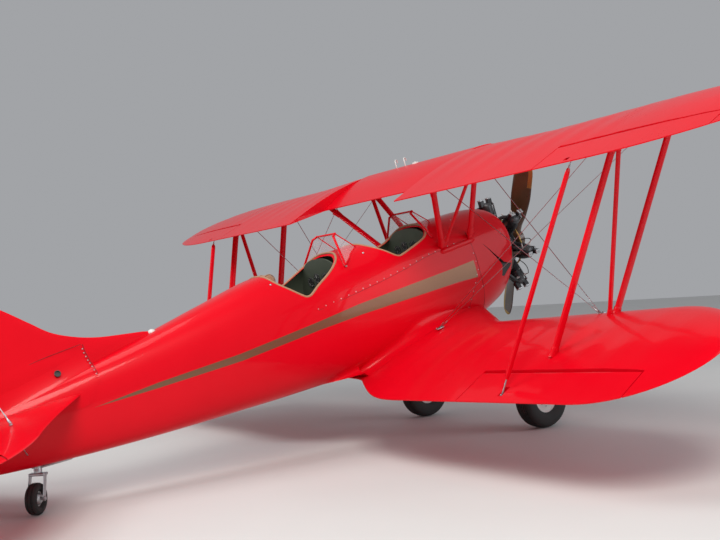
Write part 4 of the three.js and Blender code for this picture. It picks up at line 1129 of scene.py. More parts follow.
def makePropeller():
    parts = []
    for way in (1, -1):
        rings = []
        for i in range(61):
            radius = .02 + .94 * (1 - (1 - i / 60) ** 1.5)
            chord, thick, pitch = smoothRow(airscrew["rows"], radius)
            turn = radians(pitch)
            ring = []
            for a in turns(32):
                p, q = chord / 2 * cos(a), thick / 2 * sin(a)
                x, y = p * sin(turn) + q * cos(turn), p * cos(turn) - q * sin(turn)
                ring.append(Vector((x, -way * y, way * radius)))
            rings.append(ring)
        blade = rolledSkin("blade", rings)
        dress(blade, "wood", "brass")
        for polygon in blade.data.polygons:
            spot = polygon.center
            ahead = spot.y * -way / max(smoothRow(airscrew["rows"], min(abs(spot.z), .96))[0], .02)
            polygon.material_index = 1 if abs(spot.z) > .62 and (ahead > .30 or abs(spot.z) > .925) else 0
        parts.append(blade)
    hub = turned("hub", [(-.066, 0), (-.066, .060), (-.055, .098), (-.05, .105), (.038, .105), (.042, .098),
            (.045, .075)] , 48, (0, 0, 0), (1, 0, 0))
    plate = turned("plate", [(.040, .078), (.046, .080), (.052, .078), (.058, .060), (.066, .052),
            (.096, .040), (.104, .034), (.105, .030), (.105, 0)], 48, (0, 0, 0), (1, 0, 0))
    parts += [dress(hub, "wood"), dress(plate, "steel")]
    for a in turns(8, .5):
        parts.append(dress(turned("bolt", [(0, .009), (.009, .009), (.011, .006), (.018, .005)], 6,
                (.046, .066 * cos(a), .066 * sin(a)), (1, 0, 0)), "steel"))
    piece = joinAll(parts, "wooden_propeller")
    piece.data.transform(Matrix.Translation((-airscrew["s"], 0, airscrew["z"]))
            @ Matrix.Rotation(radians(airscrew["turn"]), 4, "X"))
    onBody(park(cleanUp(piece, 45)), "propeller", "engine_black", "propeller")


makePropeller()
print("stage: propeller made")


# windscreens: foot of the front pane, aft feet of the side panes, top of the front pane
screens = {
    "front": {"base": (1.490, .170, .612), "foot": (1.672, .372, .478), "top": (1.655, .150, .762)},
    "rear": {"base": (2.440, .168, .622), "foot": (2.742, .372, .510), "top": (2.612, .155, .796)},
}


def makeWindscreen(where):
    spec = screens[where]
    base, foot, top = spec["base"], spec["foot"], spec["top"]
    side = (top[0] + .042, top[1] + .026, top[2] - .018)

    def row(inner, outer):
        return [Vector((-outer[0], -outer[1], outer[2])), Vector((-inner[0], -inner[1], inner[2])),
                Vector((-inner[0], inner[1], inner[2])), Vector((-outer[0], outer[1], outer[2]))]
    low, high = row(base, foot), row(top, side)
    panes = []
    for i in range(3):
        quad = [low[i], low[i + 1], high[i + 1], high[i]]
        panes.append(rolledSkin("pane", [quad, [p + Vector((-.0035, 0, 0)) for p in quad]]))
    onBody(park(dress(joinAll(panes, f"{where}_windscreen_panes"), "glass")), "airframe", "glass",
            f"{where}_windscreen_glass")
    ahead = Vector((.012, 0, 0))
    hoop = [low[0], *high, low[3]]
    light = [(low[i], low[i + 1]) for i in range(3)] + [(low[1], high[1]), (low[2], high[2])]
    bars = [ovalBar("bar", a + ahead, b + ahead, .024, .019, ((0, .9), (.01, 1), (.99, 1), (1, .9)), 16)
            for a, b in zip(hoop, hoop[1:])]
    bars += [ovalBar("edge", a + ahead, b + ahead, .011, .009, ((0, .9), (.01, 1), (.99, 1), (1, .9)), 12)
            for a, b in light]
    for corner in high:
        bars.append(turned("corner", [(-.012, .002), (-.009, .009), (0, .0122), (.009, .009), (.012, .002)],
                16, corner + ahead, (1, 0, 0)))
    bars = [dress(bar, "red") for bar in bars]
    for a, b in zip(hoop, hoop[1:]):
        for share in (.2, .5, .8):
            spot = a.lerp(b, share) + ahead
            bars.append(dress(turned("screw", [(.006, .0042), (.0118, .0042), (.0128, .003)], 8, spot,
                    (1, 0, 0)), "steel"))
    onBody(park(joinAll(bars, f"{where}_windscreen_surround")), "airframe", "red_paint",
            f"{where}_windscreen_frame")


for where in screens:
    makeWindscreen(where)
print("stage: windscreens made")


# small details on the skin: (s, z) runs on the fuselage side, and (s, y, z) runs where y is given
details = {
    "seams": [[(1.262, .560), (1.258, .40), (1.256, .20), (1.256, .02), (1.256, -.18), (1.256, -.36),
        (1.258, -.46)], [(3.154, .218), (2.79, .239), (2.40, .262), (2.10, .290), (1.81, .326), (1.42, .335)],
        [(1.306, -.035), (1.371, -.139), (1.429, -.224), (1.478, -.317), (1.50, -.40)]],
    "screwStep": .085, "fasteners": [(2.445, .551), (2.699, .497), (3.46, .560)],
    "finSeam": [(5.112, .036, .604), (5.286, .0385, .600), (5.447, .0385, .594), (5.607, .037, .580),
        (5.900, .034, .560), (6.22, .028, .535)],
    "finFairing": [(5.100, .598, .330), (5.30, .600, .325), (5.60, .582, .300), (5.90, .560, .270),
        (6.14, .540, .235)],
    "rootPlate": [(5.098, .312, .320), (5.160, .240, .336), (5.245, .150, .338), (5.33, .150, .336),
        (5.60, .166, .330), (5.90, .170, .318), (6.10, .176, .300)],
    "hole": (5.367, .450), "dome": 4.52,
    "rootFillet": [(1.30, -.40, .030), (1.50, -.31, .075), (1.80, -.235, .100), (2.115, -.190, .110),
        (2.251, -.235, .110), (2.431, -.310, .100), (2.737, -.357, .085), (2.90, -.378, .070),
        (3.064, -.398, .050), (3.20, -.414, .030), (3.29, -.432, .008)],
    "vents": [(1.22, .42), (1.22, .27)], "cap": (1.24, .08),
}


def onSide(s, z, side, out=.0004):
    return Vector((-s, side * (bodySide(s, z) + out), z))


# places along a line of points, at a fixed step or in even shares
def alongLine(line, step=0.0, count=0):
    lengths = [0]
    for a, b in zip(line, line[1:]):
        lengths.append(lengths[-1] + (b - a).length)
    total = lengths[-1]
    wants = [total * i / count for i in range(count + 1)] if count else \
        [i * step for i in range(int(total / step) + 1)]
    places = []
    for want in wants:
        k = min(max(j for j in range(len(lengths)) if lengths[j] <= want + 1e-9), len(line) - 2)
        span = lengths[k + 1] - lengths[k]
        places.append(line[k].lerp(line[k + 1], (want - lengths[k]) / span if span else 0))
    return places


def screwRow(points, step, side):
    heads = []
    for spot in alongLine([onSide(s, z, side) for s, z in points], step):
        out = Vector((0, side, .25 * spot.z / .5))
        heads.append(turned("screw", [(-.002, .0055), (.001, .0055), (.0022, .004), (.0026, .0015)],
                8, spot, out))
    return heads


def makeSkinDetails():
    seams, heads = [], []
    for side in (1, -1):
        for points in details["seams"]:
            seams.append(tubeAlong("seam", [onSide(s, z, side, -.0003) for s, z in points], .0016,
                    6, False, 8))
            heads += screwRow([(s + .016, z) if points is details["seams"][0] else (s, z + .014)
                    for s, z in points], details["screwStep"], side)
        seams.append(tubeAlong("seam", [(-s, side * y, z) for s, y, z in details["finSeam"]], .0018,
                6, False, 6))
        fin = [Vector((-5.104, side * y, z)) for y, z in ((.186, .36), (.140, .420), (.085, .470),
                (.050, .530), (.037, .598))]
        seams.append(tubeAlong("seam", fin, .0022, 6, False, 6))
        for a, b in zip(fin, fin[1:]):
            for share in (0, .5):
                heads.append(turned("screw", [(-.002, .0055), (.003, .0055), (.004, .003)], 8,
                        a.lerp(b, share) + Vector((-.014, side * .002, .002)), (.3, side, .5)))
        for s, z in details["fasteners"]:
            spot = onSide(s, z, side)
            heads.append(turned("stud", [(-.003, .010), (.003, .010), (.008, .006), (.010, .002)], 14, spot,
                    (0, side, .8)))
    onBody(park(dress(joinAll(seams, "skin_seams"), "seam")), "airframe", "red_paint")
    onBody(park(dress(joinAll(heads, "skin_screws"), "steel")), "airframe", "steel")


# the fairing between the fin and the fuselage's top, and the plate at the tailplane's root
def makeTailFairings():
    rings = []
    table = details["finFairing"]
    for s in spread(table[0][0], table[-1][0], 40):
        high, low = smoothRow(table, s)
        half = smoothRow([(row[0], row[3]) for row in tail["fin"]], high)[0] * .8
        foot = bodySide(s, low) + .0015
        right = []
        for k in range(13):
            f = k / 12
            y = (1 - f) ** 2 * (half + .002) + 2 * f * (1 - f) * (half + foot * .12) + f * f * foot
            z = (1 - f) ** 2 * high + 2 * f * (1 - f) * (low + (high - low) * .36) + f * f * low
            right.append((y, z))
        ring = [Vector((-s, -y, z)) for y, z in right] + [Vector((-s, y, z)) for y, z in right[::-1]]
        rings.append(ring)
    onBody(park(dress(rolledSkin("fin_fairing", rings), "red")), "airframe", "red_paint")
    for hand, side in sides:
        rings = []
        table = details["rootPlate"]
        for s in spread(table[0][0], table[-1][0], 40):
            low, high = smoothRow(table, s)
            shell = [onSide(s, high + (low - high) * k / 9, side, .005) for k in range(10)]
            inner = [onSide(s, high + (low - high) * k / 9, side, -.004) for k in range(9, -1, -1)]
            rings.append(shell + inner)
        onBody(park(dress(rolledSkin(f"tail_root_plate_{hand}", rings), "red")), "airframe", "red_paint")
    # the lifting tube ends are black cups whose floors stand for the open tube's bore: painted shade
    s, z = details["hole"]
    holes = []
    for side in (1, -1):
        holes.append(turned("hole", [(-.02, 0), (-.02, .0225), (.010, .0225), (.011, .0255), (.013, .0255),
                (.013, .020), (.0, .020), (.0, 0)], 28, (-s, side * .072, z), (0, side, .45)))
    onBody(park(dress(joinAll(holes, "lifting_tube_ends"), "blackFittingsAndShade")), "airframe", "engine_black")
    s = details["dome"]
    dome = turned("tail_light", [(-.01, .034), (.006, .034), (.012, .030), (.020, .020), (.025, .008),
            (.026, .001)], 28, (-s, 0, bodyTop(s, 0) - .002), (.08, 0, 1))
    park(dress(dome, "white"))
    onBody(dome, "airframe", "steel")


# height of the lower wing's upper skin
def wingTop(s, y):
    wing = wings["lower"]
    front, rear = smoothRow(wings["lowerRoot"], y)
    f = min(max((s - front) / (rear - front), 0), 1)
    top = smoothRow(wings["airfoil"], sqrt(f))[0] * wings["chord"] * wings["thickness"]
    return wing["z"] + wing["dihedral"] * y + (wing["te"] - s) * wing["incidence"] + top


def makeRootFillet(hand, side):
    table = details["rootFillet"]
    rings = []
    for s in spread(table[0][0], table[-1][0], 60):
        high, reach = smoothRow(table, s)
        out = bodySide(s, high - .05) + reach
        low = wingTop(s, out) - .002 if s < 2.84 else high - .110 + (s - 2.84) * .18
        start = Vector((-s, bodySide(s, high) + .001, high))
        end = Vector((-s, out, min(low, high - .006)))
        bend = Vector((-s, bodySide(s, end.z + .02) + .012, end.z + .018))
        curve = [start.lerp(bend, k / 10).lerp(bend.lerp(end, k / 10), k / 10) for k in range(11)]
        inner = Vector((-s, bodySide(s, max(end.z, -.49)) - .02, end.z - .004))
        rings.append([Vector((p.x, side * p.y, p.z)) for p in curve
                + [inner, Vector((-s, start.y - .02, high - .004))]])
    onBody(park(dress(rolledSkin(f"wing_root_fillet_{hand}", rings, True, 30), "red")),
            "airframe", "red_paint")


# fuel vents and filler cap on the centre section
def makeWingTopFittings():
    wing = wings["upper"]
    thick = wings["rootThickness"] * wings["chord"]
    skin = lambda s: wing["z"] + (wing["te"] - s) * wing["incidence"] + .112 * thick
    parts = []
    for s, y in details["vents"]:
        z = skin(s) - .004
        hook = [(-s, y, z), (-s, y, z + .060), (-s + .012, y + .012, z + .092),
                (-s + .045, y + .030, z + .096), (-s + .062, y + .040, z + .066)]
        parts.append(tubeAlong("vent", hook, .006, 12))
        parts.append(turned("flange", [(0, .018), (.004, .018), (.006, .010)], 16, (-s, y, z), (0, 0, 1)))
    s, y = details["cap"]
    parts.append(turned("cap", [(-.004, .042), (.006, .042), (.010, .036), (.022, .034), (.026, .028),
            (.027, .006), (.034, .005), (.035, .001)], 32, (-s, y, skin(s) - .002), (.05, 0, 1)))
    onBody(park(dress(joinAll(parts, "tank_vents_and_cap"), "white")), "airframe", "steel")


makeSkinDetails()
makeTailFairings()
for hand, side in sides:
    makeRootFillet(hand, side)
makeWingTopFittings()
print("stage: skin details made")


# cockpits: seat front, panel, and the sizes of the shared seat, cushions and dials
cockpit = {
    "front": {"seat": 1.900, "panel": 1.665, "sill": "frontSill"},
    "rear": {"seat": 2.930, "panel": 2.770, "sill": "rearSill"},
    "pan": {"deep": .38, "half": .200, "top": -.120, "low": -.330, "back": .325, "arm": .055},
    "cushion": {"size": (.300, .350, .046), "at": (.165, -.150)},
    "backPad": {"size": (.034, .340, .360), "at": (.345, .110)},
    "voxel": .006, "pressure": 4.0, "swell": .010, "roll": .011,
    "shoulder": [(.352, .060, .300), (.330, .066, .305), (.318, .072, .200), (.316, .080, .050),
        (.310, .085, -.070), (.270, .080, -.105)],
    "lap": [(.280, .192, -.120), (.250, .150, -.098), (.200, .080, -.096), (.180, .010, -.098)],
    "headrest": {"s": 3.36, "z": .575, "half": .082, "radius": .058},
    "dials": [(-.19, .40, .042), (-.07, .43, .042), (.07, .43, .042), (.19, .40, .042), (-.13, .31, .030),
        (0, .32, .036), (.13, .31, .030)],
}


# a pad that is swollen by a short cloth simulation, with its points held near their start
def inflated(piece, swell):
    applyModifier(piece, "REMESH", mode="VOXEL", voxel_size=cockpit["voxel"])
    applyModifier(piece, "SMOOTH", factor=0.5, iterations=2)
    start = [vertex.co.copy() for vertex in piece.data.vertices]
    pickOnly(piece)
    cloth = piece.modifiers.new("cloth", "CLOTH")
    cloth.settings.use_pressure = True
    cloth.settings.uniform_pressure_force = cockpit["pressure"]
    cloth.settings.effector_weights.gravity = 0
    for step in range(1, 21):
        bpy.context.scene.frame_set(step)
    pickOnly(piece)
    bpy.ops.object.modifier_apply(modifier=cloth.name)
    bpy.context.scene.frame_set(1)
    for vertex, before in zip(piece.data.vertices, start):
        move = vertex.co - before
        if move.length > swell:
            vertex.co = before + move.normalized() * swell
    applyModifier(piece, "SMOOTH", factor=0.5, iterations=3)
    applyModifier(piece, "SUBSURF", levels=1, render_levels=1)
    pickOnly(piece)
    bpy.ops.object.shade_smooth()
    return piece


# a cushion's starting block, pinched in at its corners and crowned in the middle
def padBlock(name, size):
    deselectAll()
    bpy.ops.mesh.primitive_cube_add(size=1)
    block = freshActive(name)
    bpy.ops.object.mode_set(mode="EDIT")
    bpy.ops.mesh.subdivide(number_cuts=7)
    bpy.ops.object.mode_set(mode="OBJECT")
    thin = size.index(min(size))
    wide = [axis for axis in range(3) if axis != thin]
    for vertex in block.data.vertices:
        a, b = (vertex.co[axis] * 2 for axis in wide)
        crown = 1 - .45 * max(abs(a), abs(b)) ** 4
        inward = 1 - .06 * (1 - abs(a * b)) * max(abs(a), abs(b)) ** 3
        vertex.co[thin] *= crown
        for axis in wide:
            vertex.co[axis] *= inward
        for axis in range(3):
            vertex.co[axis] *= size[axis]
    return block


# a sewn edge cord round a pad, in the plane of its two wide axes
def piping(name, size, radius=.0045):
    thin = size.index(min(size))
    wide = [axis for axis in range(3) if axis != thin]
    points = []
    for a in turns(32):
        c, n = cos(a), sin(a)
        point = Vector((0, 0, 0))
        point[wide[0]] = size[wide[0]] / 2 * copysign(abs(c) ** .35, c) * .975
        point[wide[1]] = size[wide[1]] / 2 * copysign(abs(n) ** .35, n) * .975
        points.append(point)
    return tubeAlong(name, points, radius, 10, True, 3)


def makeCushions():
    made = {}
    for kind in ("cushion", "backPad"):
        size = cockpit[kind]["size"]
        pad = inflated(padBlock(kind, size), cockpit["swell"])
        made[kind] = [dress(pad, "leather"), dress(piping(f"{kind}_piping", size), "leather")]
    for where in ("front", "rear"):
        for kind, parts in made.items():
            aft, up = cockpit[kind]["at"]
            spot = Matrix.Translation((-cockpit[where]["seat"] - aft, 0, up))
            for part, label in zip(parts, (kind, f"{kind}_edge")):
                piece = copyOf(part, f"{where}_{label}", spot)
                onBody(park(piece), "airframe", "leather")
                0.7 if label == kind else 1.0
    for parts in made.values():
        for part in parts:
            bpy.data.objects.remove(part)


def makeSeatPan(where):
    pan, s = cockpit["pan"], cockpit[where]["seat"]
    half, deep = pan["half"], pan["deep"]
    low, top = pan["low"] + .002, pan["top"] - .062
    parts = [boxCutter((-s - deep, -half, low), (-s, half, top))]
    parts.append(boxCutter((-s - deep + .001, -half, low), (-s - deep + .018, half, pan["back"])))
    arm = [(s + .06, top), (s + .075, top + .09), (s + .17, top + .18), (s + .30, top + .25)]
    for side in (1, -1):
        outline = arm + [(s + deep, .22), (s + deep, low + .05), (s + .06, low + .05)]
        parts.append(sideCutter(outline, *sorted((side * (half - .002), side * (half + .012)))))
    for part in parts:
        applyModifier(part, "BEVEL", width=.006, segments=3)
    for side in (1, -1):
        edge = arm + [(s + deep - .01, .22)]
        parts.append(tubeAlong("rim", [(-a, side * (half + .005), b) for a, b in edge], .008, 12))
    back = [(-s - deep + .008, y, z) for y, z in ((-half, .22), (-half * .96, .31), (-half * .6, .332),
            (0, .335), (half * .6, .332), (half * .96, .31), (half, .22))]
    parts.append(tubeAlong("rim", back, .008, 12))
    onBody(park(cleanUp(dress(joinAll(parts, f"{where}_seat_pan"), "interior"), 40)), "airframe", "interior",
            f"{where}_seat")


def makeHarness(where):
    s = cockpit[where]["seat"]
    straps = [ribbon(name, [(-s - aft, side * y, z) for aft, y, z in cockpit[name]], .044, .003)
            for side in (1, -1) for name in ("shoulder", "lap")]
    onBody(park(dress(joinAll(straps, f"{where}_harness"), "webbing")), "airframe", "leather")
    bevelBox((-s - .205, -.030, -.100), (-s - .155, .030, -.084), .005)
    piece = dress(freshActive(f"{where}_buckle"), "steel")
    onBody(park(piece), "airframe", "steel")


# a flat strap along a path, lying across the y direction
def ribbon(name, path, width, thick):
    points = [Vector(point) for point in path]
    rings = []
    for i, point in enumerate(points):
        along = (points[min(i + 1, len(points) - 1)] - points[max(i - 1, 0)]).normalized()
        across = Vector((0, 1, 0))
        if abs(along.y) > .6:
            across = Vector((1, 0, 0))
        across = (across - along * across.dot(along)).normalized()
        up = along.cross(across)
        rings.append([point + across * a * width / 2 + up * b * thick / 2
                for a, b in ((-1, -1), (1, -1), (1, 1), (-1, 1))])
    return rolledSkin(name, rings)


def makePanel(where):
    s = cockpit[where]["panel"]
    ring = [bodyRing(at, body["wall"] + .0006) for at in (s + .001, s + .013)]
    board = rolledSkin("board", ring)
    cutWith(board, boxCutter((-s - .05, -.5, -.7), (-s + .05, .5, .152)))
    parts = [dress(board, "interior")]
    for y, z, radius in cockpit["dials"]:
        face = (-s - .013, y, z)
        aft = (-1, 0, 0)
        bezel = turned("bezel", [(0, radius + .006), (.006, radius + .006), (.008, radius + .003),
                (.008, radius), (.004, radius - .001), (.004, 0)], 40, face, aft)
        parts.append(dress(bezel, "blackFittingsAndShade"))
        for k in range(12):
            a = 2 * pi * k / 12 + pi / 12
            inner = .80 if k % 3 else .70
            ends = [Vector((-s - .0175, y + radius * f * sin(a), z + radius * f * cos(a)))
                    for f in (inner, .93)]
            parts.append(dress(roundRod("tick", *ends, .0009, 6), "white"))
        a = y * 23 + z * 11
        ends = [Vector((-s - .0180, y, z)), Vector((-s - .0180, y + radius * .68 * sin(a), z
                + radius * .68 * cos(a)))]
        parts.append(dress(roundRod("needle", *ends, .0014, 6), "white"))
        parts.append(dress(turned("boss", [(.004, .005), (.0065, .005), (.0075, .003)], 12, face, aft),
                "blackFittingsAndShade"))
        for k in range(4):
            a = pi / 4 + k * pi / 2
            spot = (-s - .013, y + (radius + .0085) * sin(a), z + (radius + .0085) * cos(a))
            parts.append(dress(turned("screw", [(0, .0028), (.0012, .0028), (.0018, .001)], 8, spot,
                    aft), "steel"))
    for k in range(4):
        spot = (-s - .013, -.045 + k * .03, .235)
        parts.append(dress(turned("nut", [(0, .006), (.003, .006), (.0035, .004)], 6, spot,
                (-1, 0, 0)), "steel"))
        tip = Vector(spot) + Vector((-.022, 0, -.008 if k % 2 else .008))
        parts.append(dress(ovalBar("toggle", spot, tip, .004, .004, ((0, 1), (.8, 1.5), (.95, 1.4), (1, .6)),
                10), "steel"))
    onBody(park(joinAll(parts, f"{where}_instrument_panel")), "airframe", "interior", f"{where}_panel")


# stick, pedals, throttle and the tubes of the fuselage frame
def makeControls(where):
    s, floor = cockpit[where]["seat"], body["floor"]
    parts = []
    stick = [(-s + .060, 0, floor + .01), (-s + .062, 0, -.20), (-s + .040, 0, -.06), (-s + .010, 0, .075)]
    parts.append(dress(tubeAlong("stick", stick, .012, 14), "steel"))
    parts.append(dress(turned("grip", [(0, .004), (.004, .015), (.03, .0165), (.06, .0155), (.10, .0175),
            (.112, .013), (.115, .003)], 20, (-s + .018, 0, .040), (-.25, 0, 1)), "blackFittingsAndShade"))
    parts.append(dress(turned("gaiter", [(0, .055), (.006, .055), (.012, .042), (.02, .046), (.028, .034),
            (.036, .038), (.045, .022), (.05, .016)], 28, (-s + .060, 0, floor - .001),
            (0, 0, 1)), "leather"))
    for side in (1, -1):
        foot = Vector((-s + (.30 if where == "front" else .28), side * .13, floor))
        parts.append(dress(roundRod("arm", foot, foot + Vector((.015, 0, .13)), .009, 10), "steel"))
        pedal = bevelBox(foot + Vector((.0, -.045, .10)), foot + Vector((.022, .045, .17)), .006)
        parts.append(dress(pedal, "blackFittingsAndShade"))
    wall = lambda at, up: bodySide(at, up) - body["wall"] - .012
    for side in (1, -1):
        for up in (-.20, .22):
            run = [(-at, side * wall(at, up), up) for at in (s - .50, s - .25, s, s + .25, s + .43)]
            parts.append(dress(tubeAlong("longeron", run, .011, 12), "interior"))
        for at in (s - .30, s + .06, s + .40):
            run = [(-at, side * wall(at, -.24), -.26), (-at, side * (wall(at, 0) + .004), 0),
                    (-at, side * wall(at, .22), .235)]
            parts.append(dress(tubeAlong("frame", run, .010, 12), "interior"))
    quadrant = bevelBox((-s + .10, wall(s - .1, .10) - .045, .06),
            (-s + .20, wall(s - .1, .10) - .015, .15), .008)
    parts.append(dress(quadrant, "blackFittingsAndShade"))
    y = wall(s - .1, .10) - .052
    parts.append(dress(roundRod("lever", (-s + .15, y, .11), (-s + .185, y, .21), .004, 8), "steel"))
    parts.append(dress(turned("knob", [(-.014, .004), (-.009, .012), (0, .0155), (.009, .012), (.014, .004)],
            18, (-s + .188, y, .218), (0, 1, 0)), "blackFittingsAndShade"))
    onBody(park(joinAll(parts, f"{where}_controls")), "airframe", "interior")


# the opening's edge on the fuselage skin, from the middle in front to the middle behind
def openingEdge(sill, count):
    outline = sillCurve(body[sill], 60)
    line = []
    for s, z in outline:
        if z < bodyTop(s, 0) - .0002:
            line.append(Vector((-s, bodySide(s, z), z)))
    for end in (0, -1):
        s = -line[end].x
        line.insert(0 if end == 0 else len(line), Vector((-s, 0, bodyTop(s, 0))))
    return alongLine(line, count=count)


def makeCoaming(where):
    half = openingEdge(cockpit[where]["sill"], 34)
    loop = half + [Vector((p.x, -p.y, p.z)) for p in half[-2:0:-1]]
    inward = [Vector((p.x, p.y - copysign(.008, p.y) if abs(p.y) > .02 else p.y, p.z)) for p in loop]
    roll = dress(tubeAlong(f"{where}_coaming", inward, cockpit["roll"], 16, True, 4), "leather")
    onBody(park(roll), "airframe", "leather")


def makeHeadrest():
    spec = cockpit["headrest"]
    h, r = spec["half"], spec["radius"]
    block = turned("headrest_pad", mirrored([(-h, r * .3), (-h, r * .75), (-h * .9, r * .93), (-h * .5, r)]),
            40, (-spec["s"], 0, spec["z"]), (0, 1, 0))
    pad = dress(inflated(block, .006), "leather")
    onBody(park(pad), "airframe", "leather", "headrest")
    edges = []
    for side in (1, -1):
        ring = [(-spec["s"] + r * 1.02 * cos(a), side * h * .86, spec["z"] + r * 1.02 * sin(a))
                for a in turns(24)]
        edges.append(tubeAlong("edge", ring, .004, 8, True, 3))
    onBody(park(dress(joinAll(edges, "headrest_piping"), "leather")), "airframe", "leather")


makeCushions()
for where in ("front", "rear"):
    makeSeatPan(where)
    makeHarness(where)
    makePanel(where)
    makeControls(where)
    makeCoaming(where)
makeHeadrest()
print("stage: cockpits made")


# main gear, drawn in the level airframe down to the axle
gear = {
    "axleS": 1.330, "legY": .735, "pitch": 13.5, "datum": 1.85, "radius": .285,
    "bars": [((1.365, .330, -.380), .130, .062), ((1.670, .330, -.430), .058, .032),
        ((1.500, .060, -.450), .050, .028)],
    "axleRadius": .0268,
}


def makeGearLeg(hand, side):
    turn = radians(gear["pitch"])
    z = (gear["radius"] - gear["datum"] + gear["axleS"] * sin(turn)) / cos(turn)
    knuckle = Vector((-gear["axleS"], side * gear["legY"], z))
    parts = []
    for (s, y, up), along, across in gear["bars"]:
        top = Vector((-s, side * y, up))
        rows = ((0, 1.25), (.06, 1.08), (.14, 1), (.86, .96), (.95, .86), (.985, .6),
                (1, .3)) if along > .1 else \
            ((0, 1.2), (.06, 1), (.94, 1), (.98, .8), (1, .5))
        bar = ovalBar("leg", top, knuckle, along, across, rows, 32, 0.35)
        parts.append(dress(bar, "red"))
        parts.append(dress(ovalBar("cuff", top.lerp(knuckle, .09), top.lerp(knuckle, .16), along * 1.12,
                across * 1.3, ((0, 1.1), (.3, 1.05), (1, .92)), 28, .35), "red"))
    lever = ovalBar("lever", knuckle + Vector((0, side * -.03, .06)), knuckle
            + Vector((0, side * .005, -.045)), .075, .060,
            ((0, .5), (.1, .8), (.3, 1), (.8, 1), (.95, .8), (1, .45)), 24)
    parts.append(dress(lever, "red"))
    out = Vector((0, side, 0))
    axle = turned("axle", [(-.01, 0), (-.01, gear["axleRadius"]), (.225, gear["axleRadius"]), (.225, 0)], 32,
            knuckle, out)
    parts.append(dress(axle, "steel"))
    hose = tubeAlong("brake_hose", [knuckle + Vector((-.035, side * .02, .03)), knuckle
            + Vector((-.055, side * -.01, .12)), knuckle.lerp(Vector((-1.40, side * .33, -.38)), .35)
            + Vector((-.055, 0, 0)), knuckle.lerp(Vector((-1.42, side * .33, -.38)), .85)
            + Vector((-.050, 0, 0))], .0055, 8)
    parts.append(dress(hose, "blackFittingsAndShade"))
    for share in (.3, .5, .7):
        centre = knuckle.lerp(Vector((-1.365, side * .330, -.380)), share) + Vector((-.030, 0, 0))
        parts.append(dress(ovalBar("clamp", centre + Vector((.03, 0, 0)), centre + Vector((-.03, 0, 0)), .012,
                .05, ((0, .8), (1, .5)), 12), "steel"))
    leg = joinAll(parts, f"gear_leg_faired_{hand}")
    onBody(park(cleanUp(leg, 45)), "airframe", "red_paint", f"gear_leg_{hand}")


# wheels, standing in the floor's frame
wheels = {
    "main": {"radius": .285, "half": .095, "rim": .140, "ribs": 5},
    "tail": {"radius": .120, "half": .045},
}


def makeMainWheel(hand, side):
    centre = jointPlaces[f"main_wheel_{hand}_spin"]
    spec = wheels["main"]
    r, w, rim = spec["radius"] - .0004, spec["half"], spec["rim"]
    section = [(-w * .70, rim), (-w * .80, rim + .010), (-w * .93, rim + .028), (-w, rim + .055),
            (-w, r - .062), (-w * .985, r - .050), (-w * .95, r - .034), (-w * .86, r - .019),
            (-w * .72, r - .010), (-w * .62, r - .006)]
    tread = []
    for i in range(spec["ribs"]):
        a, b = -.56 + 1.12 * i / spec["ribs"], -.56 + 1.12 * (i + 1) / spec["ribs"]
        low, high = a + .035, b - .035
        crown = lambda f: r - .007 * (f / .56) ** 2 * .8
        tread += [(w * low, crown(low) - .008), (w * (low + .006), crown(low)),
                (w * (low + high) / 2, crown((low + high) / 2)), (w * (high - .006), crown(high)),
                (w * high, crown(high) - .008)]
    rows = mirrored(section, tread)
    rows.append(rows[0])
    tyre = dress(turned(f"tyre_{hand}", rows, 96, centre, (0, side, 0), 30, False), "rubber")
    onBody(settle(tyre), f"main_wheel_{hand}", "rubber", f"main_tyre_{hand}")
    disc = [(-w * .65, .0275), (-w * .65, .058), (-w * .62, .062), (-w * .52, .118), (-w * .52, .124),
            (-w * .58, .130), (-w * .66, .134), (-w * .66, .1392), (w * .66, .1392), (w * .66, .134),
            (w * .60, .130), (w * .53, .124), (w * .53, .119), (w * .56, .090), (w * .62, .064),
            (w * .64, .054), (w * .72, .050), (w * .75, .046), (w * .75, .0275), (-w * .65, .0275)]
    hub = dress(turned("disc", disc, 64, centre, (0, side, 0), 30, False), "white")
    parts = [hub]
    for a in turns(8):
        spot = centre + Vector((.078 * cos(a), side * w * .575, .078 * sin(a)))
        parts.append(dress(turned("bolt", [(0, .0075), (.007, .0075), (.009, .005)], 6, spot,
                (0, side, 0)), "steel"))
    valve = centre + Vector((0, side * w * .53, .106))
    parts.append(dress(turned("valve", [(0, .004), (.018, .004), (.019, .003)], 8, valve,
            (0, side, -.3)), "brass"))
    hub = joinAll(parts, f"wheel_hub_{hand}")
    onBody(settle(hub), f"main_wheel_{hand}", "steel", f"main_hub_{hand}")
    cap = turned(f"axle_nut_{hand}", [(.0, 0), (.0, .024), (.004, .026), (.010, .026), (.014, .022),
            (.014, .010), (.020, .008), (.020, 0)], 6, centre + Vector((0, side * .0595, 0)), (0, side, 0))
    dress(cap, "steel")
    onBody(settle(cap), "airframe", "steel")


